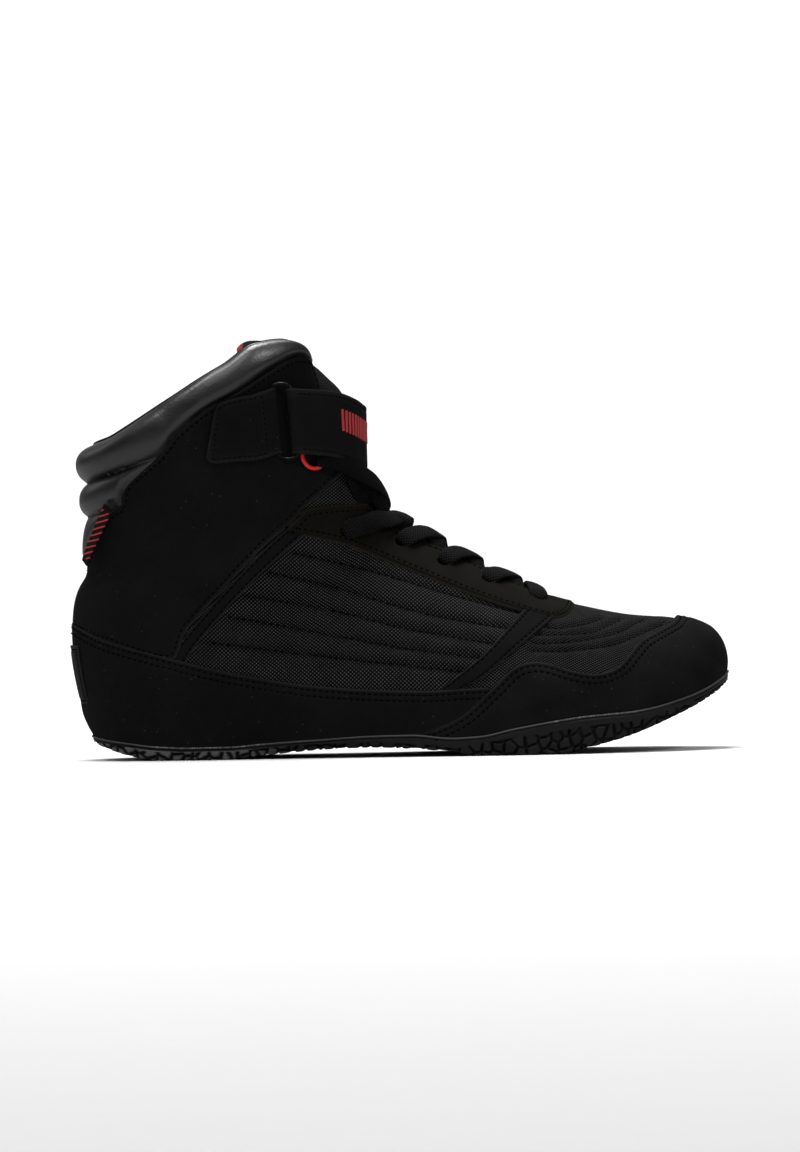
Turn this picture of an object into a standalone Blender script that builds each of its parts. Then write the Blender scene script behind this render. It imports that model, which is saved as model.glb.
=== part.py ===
"""High-top training shoe for the right foot, empty and standing on its sole.

X runs from heel to toe, Y towards the inner side of the foot, Z up from the floor. Tables are in
millimetres. Every piece of the upper is worked out from one form: meridians that rise from the sole's
edge to the ridge over the foot, or past the ankle to the top line of the collar.
"""

import math

import bmesh
import bpy
import numpy as np
from mathutils import Matrix, Vector

MM = 0.001

# Moves the drawing's zero to the middle of the finished shoe's box
CENTRE = (0.3873, -0.5144, 0.0)

# Main sizes
WALL = 2.2
GAP = 0.3
SEAT = 0.6
OVERLAY = 1.2
LIP_HEIGHT = 1.2
LUG_HEIGHT = 1.9
GROOVE = 0.8
INSOLE_THICK = 4.0
EYELET_RADIUS = 2.3
LACE_WIDTH = 7.5
LACE_THICK = 1.4
STRAP_WIDTH = 28.0
STRAP_THICK = 1.3
WIRE_RADIUS = 0.9

# Sole seen from the side: station along the shoe, height of the tread, height of the rim
SOLE_COLUMNS = ("x", "tread", "rim")
SOLE = (
    (-138.0, 9.6, 12.0),
    (-131.0, 5.7, 10.0),
    (-120.0, 2.2, 8.1),
    (-108.0, 0.0, 6.5),
    (-94.0, 0.0, 5.8),
    (-76.0, 0.0, 5.9),
    (-62.0, 1.4, 6.9),
    (-35.0, 3.7, 8.5),
    (-14.0, 4.3, 9.6),
    (4.0, 3.5, 9.8),
    (22.0, 1.7, 8.2),
    (34.0, 0.0, 8.8),
    (48.0, 0.0, 11.7),
    (66.0, 0.0, 14.8),
    (78.0, 2.0, 16.5),
    (88.0, 4.3, 17.3),
    (98.0, 7.0, 18.0),
    (108.0, 10.6, 19.5),
    (119.0, 15.2, 22.4),
    (130.0, 20.5, 26.3),
    (140.0, 26.7, 31.8),
    (147.0, 33.0, 37.5),
)

# Meridians, from the toe along the outer side to the heel and back along the inner side.
# crest: 0 toe, 1 top of the instep, 2 back of the heel, 3 top of the instep again, 4 toe.
MERIDIAN_COLUMNS = ("x_foot", "y_foot", "crest", "low_rise", "low_out", "top_drop", "top_out")
MERIDIANS = (
    (143.3, 13.0, 0.00, 0.54, 1.0, -1.0, 21.0),
    (137.5, -8.0, 0.03, 0.54, 1.2, -1.0, 22.0),
    (123.0, -26.0, 0.10, 0.54, 1.6, -0.5, 24.0),
    (100.0, -39.0, 0.22, 0.52, 2.4, 0.0, 25.0),
    (70.0, -47.5, 0.42, 0.50, 3.0, 0.0, 27.0),
    (40.0, -48.0, 0.62, 0.48, 3.2, 0.0, 28.0),
    (8.0, -43.0, 0.80, 0.44, 3.0, 2.0, 24.0),
    (-28.0, -38.0, 0.95, 0.42, 3.0, 10.0, 26.0),
    (-47.0, -36.2, 1.08, 0.41, 3.4, 17.0, 20.0),
    (-66.0, -34.5, 1.24, 0.40, 4.2, 20.0, 11.5),
    (-98.0, -31.5, 1.55, 0.34, 6.5, 22.0, 5.0),
    (-123.0, -22.5, 1.82, 0.30, 8.0, 14.0, 10.5),
    (-135.3, 0.0, 2.00, 0.30, 8.2, 11.0, 12.5),
    (-123.0, 22.5, 2.18, 0.30, 8.0, 14.0, 10.5),
    (-98.0, 31.0, 2.45, 0.34, 6.5, 22.0, 5.0),
    (-66.0, 32.5, 2.76, 0.40, 4.2, 20.0, 11.5),
    (-47.0, 32.4, 2.92, 0.41, 3.6, 17.0, 20.0),
    (-28.0, 32.5, 3.05, 0.42, 3.5, 10.0, 25.0),
    (8.0, 35.0, 3.20, 0.44, 3.2, 2.0, 21.0),
    (40.0, 43.5, 3.38, 0.48, 2.6, 0.0, 24.0),
    (70.0, 49.0, 3.58, 0.50, 2.0, 0.0, 24.0),
    (100.0, 48.5, 3.78, 0.52, 1.6, 0.0, 21.0),
    (124.0, 40.0, 3.90, 0.54, 1.4, -0.5, 21.0),
    (138.0, 28.0, 3.97, 0.54, 1.2, -1.0, 21.0),
)

HEEL_ROW = 12.0
SOFT_CREST, SOFT_REACH, SOFT_STEP = 1.02, 0.17, 0.075

# Ridge over the foot, from the toe box to the top of the instep
RIDGE_COLUMNS = ("x", "y", "z")
RIDGE = (
    (-8.0, 1.0, 110.0),
    (0.0, 1.5, 104.0),
    (10.0, 2.0, 97.3),
    (24.0, 3.0, 88.8),
    (38.0, 3.8, 80.8),
    (50.0, 4.6, 74.7),
    (62.0, 5.6, 69.6),
    (72.0, 6.6, 66.3),
    (82.0, 7.6, 63.9),
    (92.0, 8.6, 61.6),
    (102.0, 9.4, 59.8),
    (112.0, 10.0, 58.8),
)

# Ankle ring and top line, as ovals seen from above
RING_CENTRE_X, RING_HALF_LENGTH, RING_Y = -72.75, 64.75, 1.0
RING_CENTRE_Z, RING_HALF_RISE = 95.5, 14.5
RING_HALF_WIDTH = 35.0
TOP_CENTRE_X, TOP_HALF_LENGTH = -85.5, 50.5
TOP_HALF_WIDTH = 35.5
TOP_COLUMNS = ("x", "z")
TOP_LINE = (
    (-136.0, 136.0),
    (-123.0, 143.0),
    (-101.0, 156.5),
    (-80.0, 169.5),
    (-60.0, 179.0),
    (-49.0, 180.5),
    (-41.0, 178.0),
    (-35.0, 172.0),
)

# Throat: half of its opening along the crest, and its edge round the ankle
THROAT_COLUMNS = ("crest", "half_gap")
THROAT = (
    (0.37, 0.0),
    (0.385, 3.2),
    (0.41, 5.0),
    (0.46, 6.2),
    (0.58, 7.2),
    (0.80, 8.0),
    (0.95, 9.0),
    (1.111, 12.0),
)
THROAT_CREST = 1.111
FRONT_EDGE_COLUMNS = ("rise", "angle")
FRONT_EDGE = ((0.0, 20.0), (0.25, 29.0), (0.5, 30.0), (0.85, 23.0), (1.0, 21.0))

# Crest stations of the columns on one side
CRESTS = (
    0.0, 0.016, 0.04, 0.08, 0.14, 0.21, 0.29, 0.37, 0.385, 0.42, 0.50, 0.60, 0.70, 0.79, 0.87, 0.95,
    1.03, 1.111, 1.20, 1.31, 1.43, 1.55, 1.66, 1.76, 1.85, 1.93, 2.0,
)
ROWS_FOOT = 6
ROWS_SHAFT = 4

# Panel edges seen from the side
GUARD_EDGE = (
    (10.0, 10.4), (25.8, 17.6), (38.5, 28.3), (48.0, 37.0), (55.3, 39.8), (63.5, 39.2), (73.8, 35.9),
    (84.2, 34.3), (93.5, 36.6), (99.9, 42.7), (105.1, 47.7), (113.5, 51.7), (120.5, 55.2), (123.5, 60.0),
)
FOXING_EDGE = (
    (-152.0, 64.5), (-144.9, 61.3), (-128.8, 53.3), (-101.0, 45.1), (-79.4, 39.3), (-48.4, 33.1),
    (-21.6, 30.1), (9.5, 28.6), (27.1, 29.2), (38.0, 29.4),
)
ANKLE_FRONT = (
    (-101.0, 45.7), (-93.5, 56.8), (-76.6, 75.1), (-57.6, 94.4), (-45.0, 105.5), (-41.8, 109.6),
    (-32.3, 117.7), (-26.0, 124.0),
)
CUFF_EDGE = (
    (-152.0, 77.0), (-139.7, 82.2), (-134.2, 95.9), (-127.8, 107.5), (-121.5, 113.0), (-115.0, 123.5),
    (-105.6, 133.0), (-93.9, 145.9), (-70.8, 160.9), (-55.0, 170.8), (-44.0, 175.2), (-34.0, 172.0),
)
EYESTAY_LOW = (
    (-51.4, 98.4), (-36.8, 96.1), (-20.4, 91.6), (2.2, 81.9), (31.0, 69.9), (52.0, 62.6), (66.0, 58.9),
    (73.5, 60.2), (77.5, 64.9), (78.5, 72.0),
)
EYELETS = ((-23.9, 99.0), (0.4, 93.3), (18.9, 84.2), (38.2, 75.9), (60.5, 67.4))
STRIP = (
    (18.0, 30.0), (35.7, 43.9), (52.8, 61.8), (66.2, 58.3), (51.3, 46.7), (36.5, 34.6), (27.3, 30.0),
)

# Tongue: under the instep, up the front of the ankle, and its top, which leans back over the opening
TONGUE_FOOT_COLUMNS = ("crest", "half_width", "thick", "inset")
TONGUE_FOOT = (
    (0.29, 12.0, 2.4, 3.0),
    (0.37, 14.5, 3.0, 3.0),
    (0.48, 16.0, 3.6, 3.0),
    (0.62, 17.0, 4.2, 3.2),
    (0.78, 17.5, 4.6, 4.0),
    (0.90, 17.5, 5.0, 5.6),
)
TONGUE_SHAFT_COLUMNS = ("rise", "half_angle", "thick", "inset")
TONGUE_SHAFT = (
    (0.03, 28.0, 5.2, 6.6),
    (0.16, 33.0, 5.4, 5.0),
    (0.30, 36.0, 5.5, 4.0),
    (0.45, 36.0, 5.6, 4.0),
    (0.60, 36.0, 5.8, 4.0),
)
TONGUE_TOP_COLUMNS = ("x", "z", "half_width", "thick", "bend")
TONGUE_TOP = (
    (-30.0, 158.5, 20.5, 5.9, 14.5),
    (-37.0, 169.8, 20.0, 6.0, 13.5),
    (-47.5, 178.2, 20.0, 6.0, 10.5),
    (-59.0, 183.2, 18.5, 5.8, 7.5),
    (-67.5, 184.6, 16.0, 5.0, 5.0),
)

# Strap down its middle, as angles round the ankle from the front, and heights
STRAP_COLUMNS = ("angle", "height", "off")
STRAP = (
    (57.0, 147.6, 3.6),
    (48.0, 147.2, 5.8),
    (36.0, 146.2, 6.6),
    (24.0, 143.6, 5.8),
    (12.0, 141.2, 5.0),
    (0.0, 140.0, 4.9),
    (-12.0, 141.2, 5.0),
    (-24.0, 143.6, 5.8),
    (-36.0, 145.6, 6.6),
    (-50.0, 146.0, 5.6),
    (-62.0, 146.0, 3.2),
    (-74.0, 146.0, 2.6),
)

# Tab that holds the ring, from the ring to its rear edge
TAB_COLUMNS = ("angle", "height", "width", "lift")
TAB = ((69.0, 145.4, 27.0, 2.0), (74.0, 144.8, 26.0, 1.3), (80.0, 143.4, 24.0, 1.0), (89.0, 141.4, 22.0, 0.8))

# Lace over the front of the ankle, and the rings it comes from
LACE_RING_ANGLE, LACE_RING_HEIGHT, LACE_RING_RADIUS = 41.0, 133.9, 5.4
LACE_LEAN = (0.68, 0.68, 0.64, 0.54)
CORNER_EDGE, CORNER_FAR = 0.99, 0.93
LACE_TOP_COLUMNS = ("angle", "height", "off")
LACE_TOP = (
    (31.0, 125.4, 2.1),
    (24.0, 123.2, 1.9),
    (12.0, 120.8, 1.2),
    (0.0, 118.6, 0.8),
    (-8.0, 117.2, 0.5),
)


def column(table, names, name):
    """One named column of a table."""
    return np.array([row[names.index(name)] for row in table], float)


def pchip(xs, ys, x):
    """Smooth curve through points that never overshoots, so level stretches stay level."""
    xs, ys = np.asarray(xs, float), np.asarray(ys, float)
    step = np.diff(xs)
    rise = np.diff(ys) / step
    slope = np.zeros(len(xs))
    slope[0], slope[-1] = rise[0], rise[-1]
    for i in range(1, len(xs) - 1):
        if rise[i - 1] * rise[i] > 0:
            a = 2 * step[i] + step[i - 1]
            b = step[i] + 2 * step[i - 1]
            slope[i] = (a + b) / (a / rise[i - 1] + b / rise[i])
    x = np.clip(x, xs[0], xs[-1])
    i = np.clip(np.searchsorted(xs, x, side="right") - 1, 0, len(xs) - 2)
    s = (x - xs[i]) / step[i]
    return (
        (1 + 2 * s) * (1 - s) ** 2 * ys[i]
        + s * (1 - s) ** 2 * step[i] * slope[i]
        + s * s * (3 - 2 * s) * ys[i + 1]
        + s * s * (s - 1) * step[i] * slope[i + 1]
    )


def loop_curve(values, u):
    """Smooth closed curve through the values, one to each whole u."""
    n = len(values)
    i = np.floor(u).astype(int)
    f = u - i
    p = [values[(i + k) % n] for k in (-1, 0, 1, 2)]
    return p[1] + 0.5 * f * (
        p[2] - p[0] + f * (2 * p[0] - 5 * p[1] + 4 * p[2] - p[3] + f * (3 * (p[1] - p[2]) + p[3] - p[0]))
    )


def smooth_line(points, pieces=2):
    """Points along a smooth curve through the given ones."""
    p = np.array(points, float)
    p = np.vstack([2 * p[0] - p[1], p, 2 * p[-1] - p[-2]])
    out = []
    for i in range(1, len(p) - 2):
        for f in np.arange(pieces) / pieces:
            a, b, c, d = p[i - 1 : i + 3]
            out.append(b + 0.5 * f * (c - a + f * (2 * a - 5 * b + 4 * c - d + f * (3 * (b - c) + d - a))))
    out.append(p[-2])
    return np.array(out)


def sole_tread(x):
    return pchip(column(SOLE, SOLE_COLUMNS, "x"), column(SOLE, SOLE_COLUMNS, "tread"), x)


def sole_rim(x):
    return pchip(column(SOLE, SOLE_COLUMNS, "x"), column(SOLE, SOLE_COLUMNS, "rim"), x)


def platform(x):
    """Height of the sole's upper face, inside the rim."""
    return sole_rim(x) - LIP_HEIGHT


def meridian(name, u):
    return loop_curve(column(MERIDIANS, MERIDIAN_COLUMNS, name), u)


def crest_of(u):
    values = column(MERIDIANS, MERIDIAN_COLUMNS, "crest")
    values = np.concatenate([values[-2:] - 4, values, values[:3] + 4])
    return pchip(np.arange(-2, len(values) - 2), values, u)


DENSE_U = np.linspace(0, len(MERIDIANS), 4401)
DENSE_CREST = crest_of(DENSE_U)


def u_of(crest):
    return np.interp(crest, DENSE_CREST, DENSE_U)


def foot(u):
    """Lower edge of the upper, on the sole's platform."""
    x, y = meridian("x_foot", u), meridian("y_foot", u)
    return np.stack([x, y, platform(x) + SEAT], -1)


def outward(u):
    """Level direction away from the shoe at the sole's edge."""
    d = 1e-3
    x = meridian("x_foot", u + d) - meridian("x_foot", u - d)
    y = meridian("y_foot", u + d) - meridian("y_foot", u - d)
    out = np.stack([y, -x, np.zeros_like(x)], -1)
    return -out / np.linalg.norm(out, axis=-1, keepdims=True)


def ridge(x):
    xs = column(RIDGE, RIDGE_COLUMNS, "x")
    return np.stack([x, pchip(xs, column(RIDGE, RIDGE_COLUMNS, "y"), x), pchip(xs, column(RIDGE, RIDGE_COLUMNS, "z"), x)], -1)


def ring(angle):
    """Point of the ankle ring, at an angle from the front towards the outer side."""
    return np.stack(
        [
            RING_CENTRE_X + RING_HALF_LENGTH * np.cos(angle),
            RING_Y - RING_HALF_WIDTH * np.sin(angle),
            RING_CENTRE_Z + RING_HALF_RISE * np.cos(angle),
        ],
        -1,
    )


def top(angle):
    """Point of the collar's top line at the same angle."""
    x = TOP_CENTRE_X + TOP_HALF_LENGTH * np.cos(angle)
    z = pchip(column(TOP_LINE, TOP_COLUMNS, "x"), column(TOP_LINE, TOP_COLUMNS, "z"), x)
    return np.stack([x, RING_Y - TOP_HALF_WIDTH * np.sin(angle), z], -1)


def fold(crest):
    """Crest counted from the toe on either side."""
    return np.where(crest > 2, 4 - crest, crest)


def head(crest):
    """Upper end of a meridian's foot part: on the ridge, or on the ankle ring."""
    c = fold(crest)
    xs = column(RIDGE, RIDGE_COLUMNS, "x")
    on_ridge = ridge(xs[-1] + (xs[0] - xs[-1]) * np.clip(c, 0, 1))
    on_ring = ring((crest - 1) * math.pi)
    return np.where((c < 1)[..., None], on_ridge, on_ring)


def foot_part(crest, t):
    """Form from the sole's edge (t 0) to the ridge or the ankle ring (t 1), softened where they meet."""
    crest, t = np.broadcast_arrays(np.asarray(crest, float), np.asarray(t, float))
    step = SOFT_STEP * np.exp(-(((fold(crest) - SOFT_CREST) / SOFT_REACH) ** 2))
    shares = zip((-2, -1, 0, 1, 2), (1, 4, 6, 4, 1))
    return sum(raw_foot_part(crest + step * k, t) * w for k, w in shares) / 16


def raw_foot_part(crest, t):
    """The form by its meridians alone."""
    u = u_of(crest)
    low, high, out = foot(u), head(crest), outward(u)
    up = np.array([0.0, 0.0, 1.0])
    tall = (high - low)[..., 2:]
    first = low + up * tall * meridian("low_rise", u)[..., None] + out * meridian("low_out", u)[..., None]
    reach = meridian("top_out", u)
    c = fold(crest)
    slope = (ridge(head(crest)[..., 0] + 1)[..., 2] - ridge(head(crest)[..., 0] - 1)[..., 2]) / 2
    lean = slope * out[..., 0] * reach * np.clip((1 - c) * 4, 0, 1)
    second = high + out * reach[..., None] + up * (lean - meridian("top_drop", u))[..., None]
    t = t[..., None]
    return (1 - t) ** 3 * low + 3 * t * (1 - t) ** 2 * first + 3 * t * t * (1 - t) * second + t**3 * high


def shaft_part(angle, v):
    """Form from the ankle ring (v 0) to the top line (v 1), at an angle from the front."""
    angle, v = np.broadcast_arrays(np.asarray(angle, float), np.asarray(v, float))
    return ring(angle) * (1 - v)[..., None] + top(angle) * v[..., None]


def shaft_angle(crest, v):
    """Angle of a column round the ankle; the columns keep clear of the throat."""
    c = fold(crest)
    edge = np.radians(pchip(column(FRONT_EDGE, FRONT_EDGE_COLUMNS, "rise"), column(FRONT_EDGE, FRONT_EDGE_COLUMNS, "angle"), v))
    start = (THROAT_CREST - 1) * math.pi
    angle = edge + ((c - 1) * math.pi - start) * (math.pi - edge) / (math.pi - start)
    return np.where(crest > 2, 2 * math.pi - angle, angle)


def normal_of(form, a, b):
    """Outward direction of a form at its two parameters."""
    d = 1e-4
    across = form(a + d, b) - form(a - d, b)
    along = form(a, b + d) - form(a, b - d)
    n = np.cross(along, across)
    return n / np.linalg.norm(n, axis=-1, keepdims=True)


def throat_end(crest):
    """Where a meridian meets the throat's edge."""
    c = float(fold(np.array(crest)))
    xs = column(THROAT, THROAT_COLUMNS, "crest")
    if c <= xs[0] or c >= THROAT_CREST - 1e-6:
        return 1.0
    gap = float(pchip(xs, column(THROAT, THROAT_COLUMNS, "half_gap"), np.array(c)))
    middle = head(np.array(crest))[1] if c < 1 else RING_Y
    t = np.linspace(0.5, 1.0, 501)
    away = np.abs(foot_part(crest, t)[:, 1] - middle)
    return float(np.interp(-gap, -away, t))


def side_point(x, z, inner=False):
    """Crest and t of the foot part's point seen at x, z from the outer side, or of its partner."""
    crest = np.linspace(0.02, 1.35, 400)
    t = np.linspace(0.25, 1.0, 300)
    grid = foot_part(crest[:, None], t[None, :])
    far = (grid[..., 0] - x) ** 2 + (grid[..., 2] - z) ** 2
    i, j = np.unravel_index(np.argmin(far), far.shape)
    return (4 - crest[i] if inner else crest[i]), t[j]


# Scene and small builders


def clear_scene():
    for obj in list(bpy.data.objects):
        bpy.data.objects.remove(obj, do_unlink=True)
    for name in ("training_shoe", "cutters"):
        collection = bpy.data.collections.new(name)
        bpy.context.scene.collection.children.link(collection)
    bpy.data.collections["cutters"].hide_render = True


def material(name, colour, rough, metal=0.0):
    made = bpy.data.materials.new(name)
    made.use_nodes = True
    shader = made.node_tree.nodes["Principled BSDF"]
    shader.inputs["Base Color"].default_value = (*colour, 1.0)
    shader.inputs["Roughness"].default_value = rough
    shader.inputs["Metallic"].default_value = metal
    return made


def add_object(name, bm, made, collection="training_shoe"):
    """Makes an object of a bmesh in millimetres."""
    bmesh.ops.recalc_face_normals(bm, faces=bm.faces)
    bmesh.ops.translate(bm, vec=CENTRE, verts=bm.verts)
    bmesh.ops.scale(bm, vec=(MM, MM, MM), verts=bm.verts)
    mesh = bpy.data.meshes.new(name)
    bm.to_mesh(mesh)
    bm.free()
    obj = bpy.data.objects.new(name, mesh)
    bpy.data.collections[collection].objects.link(obj)
    if made:
        mesh.materials.append(made)
    if collection == "cutters":
        obj.hide_render = True
        obj.display_type = "WIRE"
    return obj


def boolean(obj, cutter, operation):
    change = obj.modifiers.new(operation.lower() + "_" + cutter.name, "BOOLEAN")
    change.solver = "EXACT"
    change.operation = operation
    change.object = cutter
    return change


def loft(rings, closed_rings=True, caps=True, wrap=False):
    """A bmesh skinned over rings of points with the same count."""
    bm = bmesh.new()
    rows = [[bm.verts.new(p) for p in points] for points in rings]
    count = len(rows[0])
    for a, b in zip(rows, rows[1:] + (rows[:1] if wrap else [])):
        for i in range(count if closed_rings else count - 1):
            j = (i + 1) % count
            bm.faces.new((a[i], a[j], b[j], b[i]))
    if caps and not wrap:
        bm.faces.new(rows[0])
        bm.faces.new(rows[-1])
    return bm


def ribbon(middle, facing, width, thick, across=1, span=None):
    """A flat band along points; facing is its outward direction, span its direction across."""
    middle, facing = np.asarray(middle, float), np.asarray(facing, float)
    facing = facing / np.linalg.norm(facing, axis=1, keepdims=True)
    if span is None:
        along = np.gradient(middle, axis=0)
        span = np.cross(facing, along)
    span = span / np.linalg.norm(span, axis=1, keepdims=True)
    rings = []
    for m, f, s, w in zip(middle, facing, span, np.broadcast_to(width, len(middle))):
        shares = np.linspace(-0.5, 0.5, across + 1)
        rings.append([m + s * w * k for k in shares] + [m + s * w * k + f * thick for k in shares[::-1]])
    return loft(rings)


def prism(name, outline, y_from, y_to):
    """Cutter: an outline seen from the side, drawn out across the shoe."""
    bm = loft([[(x, y, z) for x, z in outline] for y in (y_from, y_to)])
    return add_object(name, bm, None, "cutters")


# Upper and its shells


def upper_surface(lift=0.0):
    """The form's outer face as a bmesh, moved out by lift."""
    side = [c for c in CRESTS]
    crests = side + [4 - c for c in side[-2:0:-1]]
    bm = bmesh.new()
    seat = bm.verts.layers.int.new("seat")
    columns = []
    for c in crests:
        end = throat_end(c)
        t = end * np.arange(ROWS_FOOT + 1) / ROWS_FOOT
        points = list(foot_part(c, t))
        if fold(np.array(c)) >= THROAT_CREST - 1e-6:
            v = np.arange(1, ROWS_SHAFT + 1) / ROWS_SHAFT
            points += list(shaft_part(shaft_angle(np.array(c), v), v))
        columns.append([bm.verts.new(p) for p in points])
        columns[-1][0][seat] = 1
    for a, b in zip(columns, columns[1:] + columns[:1]):
        for k in range(min(len(a), len(b)) - 1):
            bm.faces.new((a[k], b[k], b[k + 1], a[k + 1]))
    bmesh.ops.remove_doubles(bm, verts=bm.verts, dist=1e-3)
    bmesh.ops.recalc_face_normals(bm, faces=bm.faces)
    bmesh.ops.triangulate(bm, faces=bm.faces, quad_method="FIXED")
    bm.normal_update()
    toe = min(bm.faces, key=lambda f: -f.calc_center_median().x)
    if toe.normal.x < 0:
        bmesh.ops.reverse_faces(bm, faces=bm.faces)
        bm.normal_update()
    moves = [(v, v.normal.copy()) for v in bm.verts]
    for v, n in moves:
        if v[seat]:
            n.z = 0.0
        v.co += n * lift
    return bm


def thicken(bm, thick):
    """Gives an open surface a wall: outwards when thick is above 0, inwards when below."""
    bm.normal_update()
    seat = bm.verts.layers.int["seat"]
    level = Vector((1.0, 1.0, 0.0))
    outer = {v: v.normal * level if v[seat] else v.normal.copy() for v in bm.verts}
    old_faces = list(bm.faces)
    twin = {v: bm.verts.new(v.co + n * thick) for v, n in outer.items()}
    rim = [e for e in bm.edges if e.is_boundary]
    for face in old_faces:
        bm.faces.new([twin[v] for v in reversed(face.verts)])
    for edge in rim:
        a, b = edge.verts
        bm.faces.new((a, b, twin[b], twin[a]))
    return bm


def shell(name, low, high, made):
    return add_object(name, thicken(upper_surface(low), high - low), made)


def eyelet_cutter():
    """Round punches through facing and wall."""
    bm = bmesh.new()
    for inner in (False, True):
        for x, z in EYELETS:
            c, t = side_point(x, z, inner)
            middle = Vector(foot_part(np.array(c), np.array(t)))
            axis = Vector(normal_of(foot_part, np.array(c), np.array(t)))
            turn = axis.to_track_quat("Z", "Y").to_matrix().to_4x4()
            bmesh.ops.create_cone(
                bm, cap_ends=True, segments=8, radius1=EYELET_RADIUS, radius2=EYELET_RADIUS, depth=12.0,
                matrix=Matrix.Translation(middle) @ turn,
            )
    return add_object("eyelet_punches", bm, None, "cutters")


def build_upper(looks):
    punches = eyelet_cutter()
    upper = add_object("upper", thicken(upper_surface(), -WALL), looks["textile"])
    boolean(upper, punches, "DIFFERENCE")
    return punches


def below_rim(first, last):
    """Lower edge of a band, just above the sole's lip."""
    x = np.linspace(first, last, 24)
    return np.stack([x, sole_rim(x) + 0.45 + 0.8 * np.exp(-(((x - 27) / 15) ** 2))], -1)


def build_overlays(looks, punches):
    low, high = GAP, GAP + OVERLAY
    guard_edge = smooth_line(GUARD_EDGE)
    guard = np.vstack([guard_edge, [(125.0, 80.0), (165.0, 80.0)], below_rim(165.0, 11.5)])
    foxing_front = smooth_line(GUARD_EDGE[:3])[::-1] + (-0.35, 0.35)
    foxing = np.vstack(
        [smooth_line(FOXING_EDGE), foxing_front[foxing_front[:, 1] < 28.9], below_rim(8.6, -152.0)]
    )
    ankle = np.vstack(
        [
            smooth_line(ANKLE_FRONT),
            [(-5.0, 150.0), (-5.0, 185.0), (-30.0, 185.0)],
            (smooth_line(CUFF_EDGE)[::-1] + (0.3, -0.7)),
            (smooth_line(FOXING_EDGE) + (0.0, 0.4))[: len(smooth_line(FOXING_EDGE[:4]))],
        ]
    )
    eyestay = np.vstack(
        [
            smooth_line(EYESTAY_LOW),
            [(78.0, 95.0), (20.0, 120.0), (-6.0, 120.0), (-9.6, 111.3), (-30.4, 110.4), (-40.6, 108.9)],
            [(-44.6, 105.0)],
        ]
    )
    edging = np.vstack(
        [
            smooth_line(ANKLE_FRONT[:4]) + (0.4, -0.2),
            [(-52.6, 98.0), (-51.8, 97.4), (-52.0, 90.7), (-71.0, 73.3), (-89.2, 53.3), (-96.0, 43.9)],
        ]
    )
    far = 80.0
    boolean(shell("toe_guard", low, high, looks["nubuck"]), prism("cut_guard", guard, -far, far), "INTERSECT")
    boolean(shell("heel_foxing", low, high, looks["nubuck"]), prism("cut_foxing", foxing, -far, far), "INTERSECT")
    boolean(shell("ankle_panel", low, high, looks["nubuck"]), prism("cut_ankle", ankle, -far, far), "INTERSECT")
    facing = shell("eyestay", low, high, looks["facing"])
    boolean(facing, prism("cut_eyestay", eyestay, -far, far), "INTERSECT")
    boolean(facing, punches, "DIFFERENCE")
    for side, ends in (("lateral", (-far, 1.0)), ("medial", (1.0, far))):
        for name, outline in (("ankle_edging", edging), ("forefoot_strip", np.array(STRIP))):
            piece = shell(f"{name}_{side}", low, high, looks["nubuck"])
            boolean(piece, prism(f"cut_{name}_{side}", outline, *ends), "INTERSECT")
    patch = [(-160.0, 25.4), (-125.0, 25.4), (-125.0, 51.3), (-160.0, 51.3)]
    boolean(shell("heel_patch", high + GAP, high + GAP + 0.8, looks["patch"]), prism("cut_patch", patch, -13.5, 13.5), "INTERSECT")


# Sole and insole


def outline_columns():
    """u of the upper's own columns, once round the sole."""
    side = list(CRESTS)
    return u_of(np.array(side + [4 - c for c in side[-2:0:-1]]))


def sole_ring(u, margin, height, level=False):
    start = foot(u)
    p = start + outward(u) * np.asarray(margin)[..., None]
    p[:, 2] = height(start[:, 0] if level else p[:, 0])
    return p


def ladder(bm, verts):
    """Fills a closed ring whose first half runs along one side and whose second half comes back."""
    n = len(verts)
    half = n // 2
    faces = [bm.faces.new((verts[0], verts[1], verts[n - 1]))]
    for i in range(1, half - 1):
        faces.append(bm.faces.new((verts[i], verts[i + 1], verts[n - i - 1], verts[n - i])))
    faces.append(bm.faces.new((verts[half - 1], verts[half], verts[half + 1])))
    return faces


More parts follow.
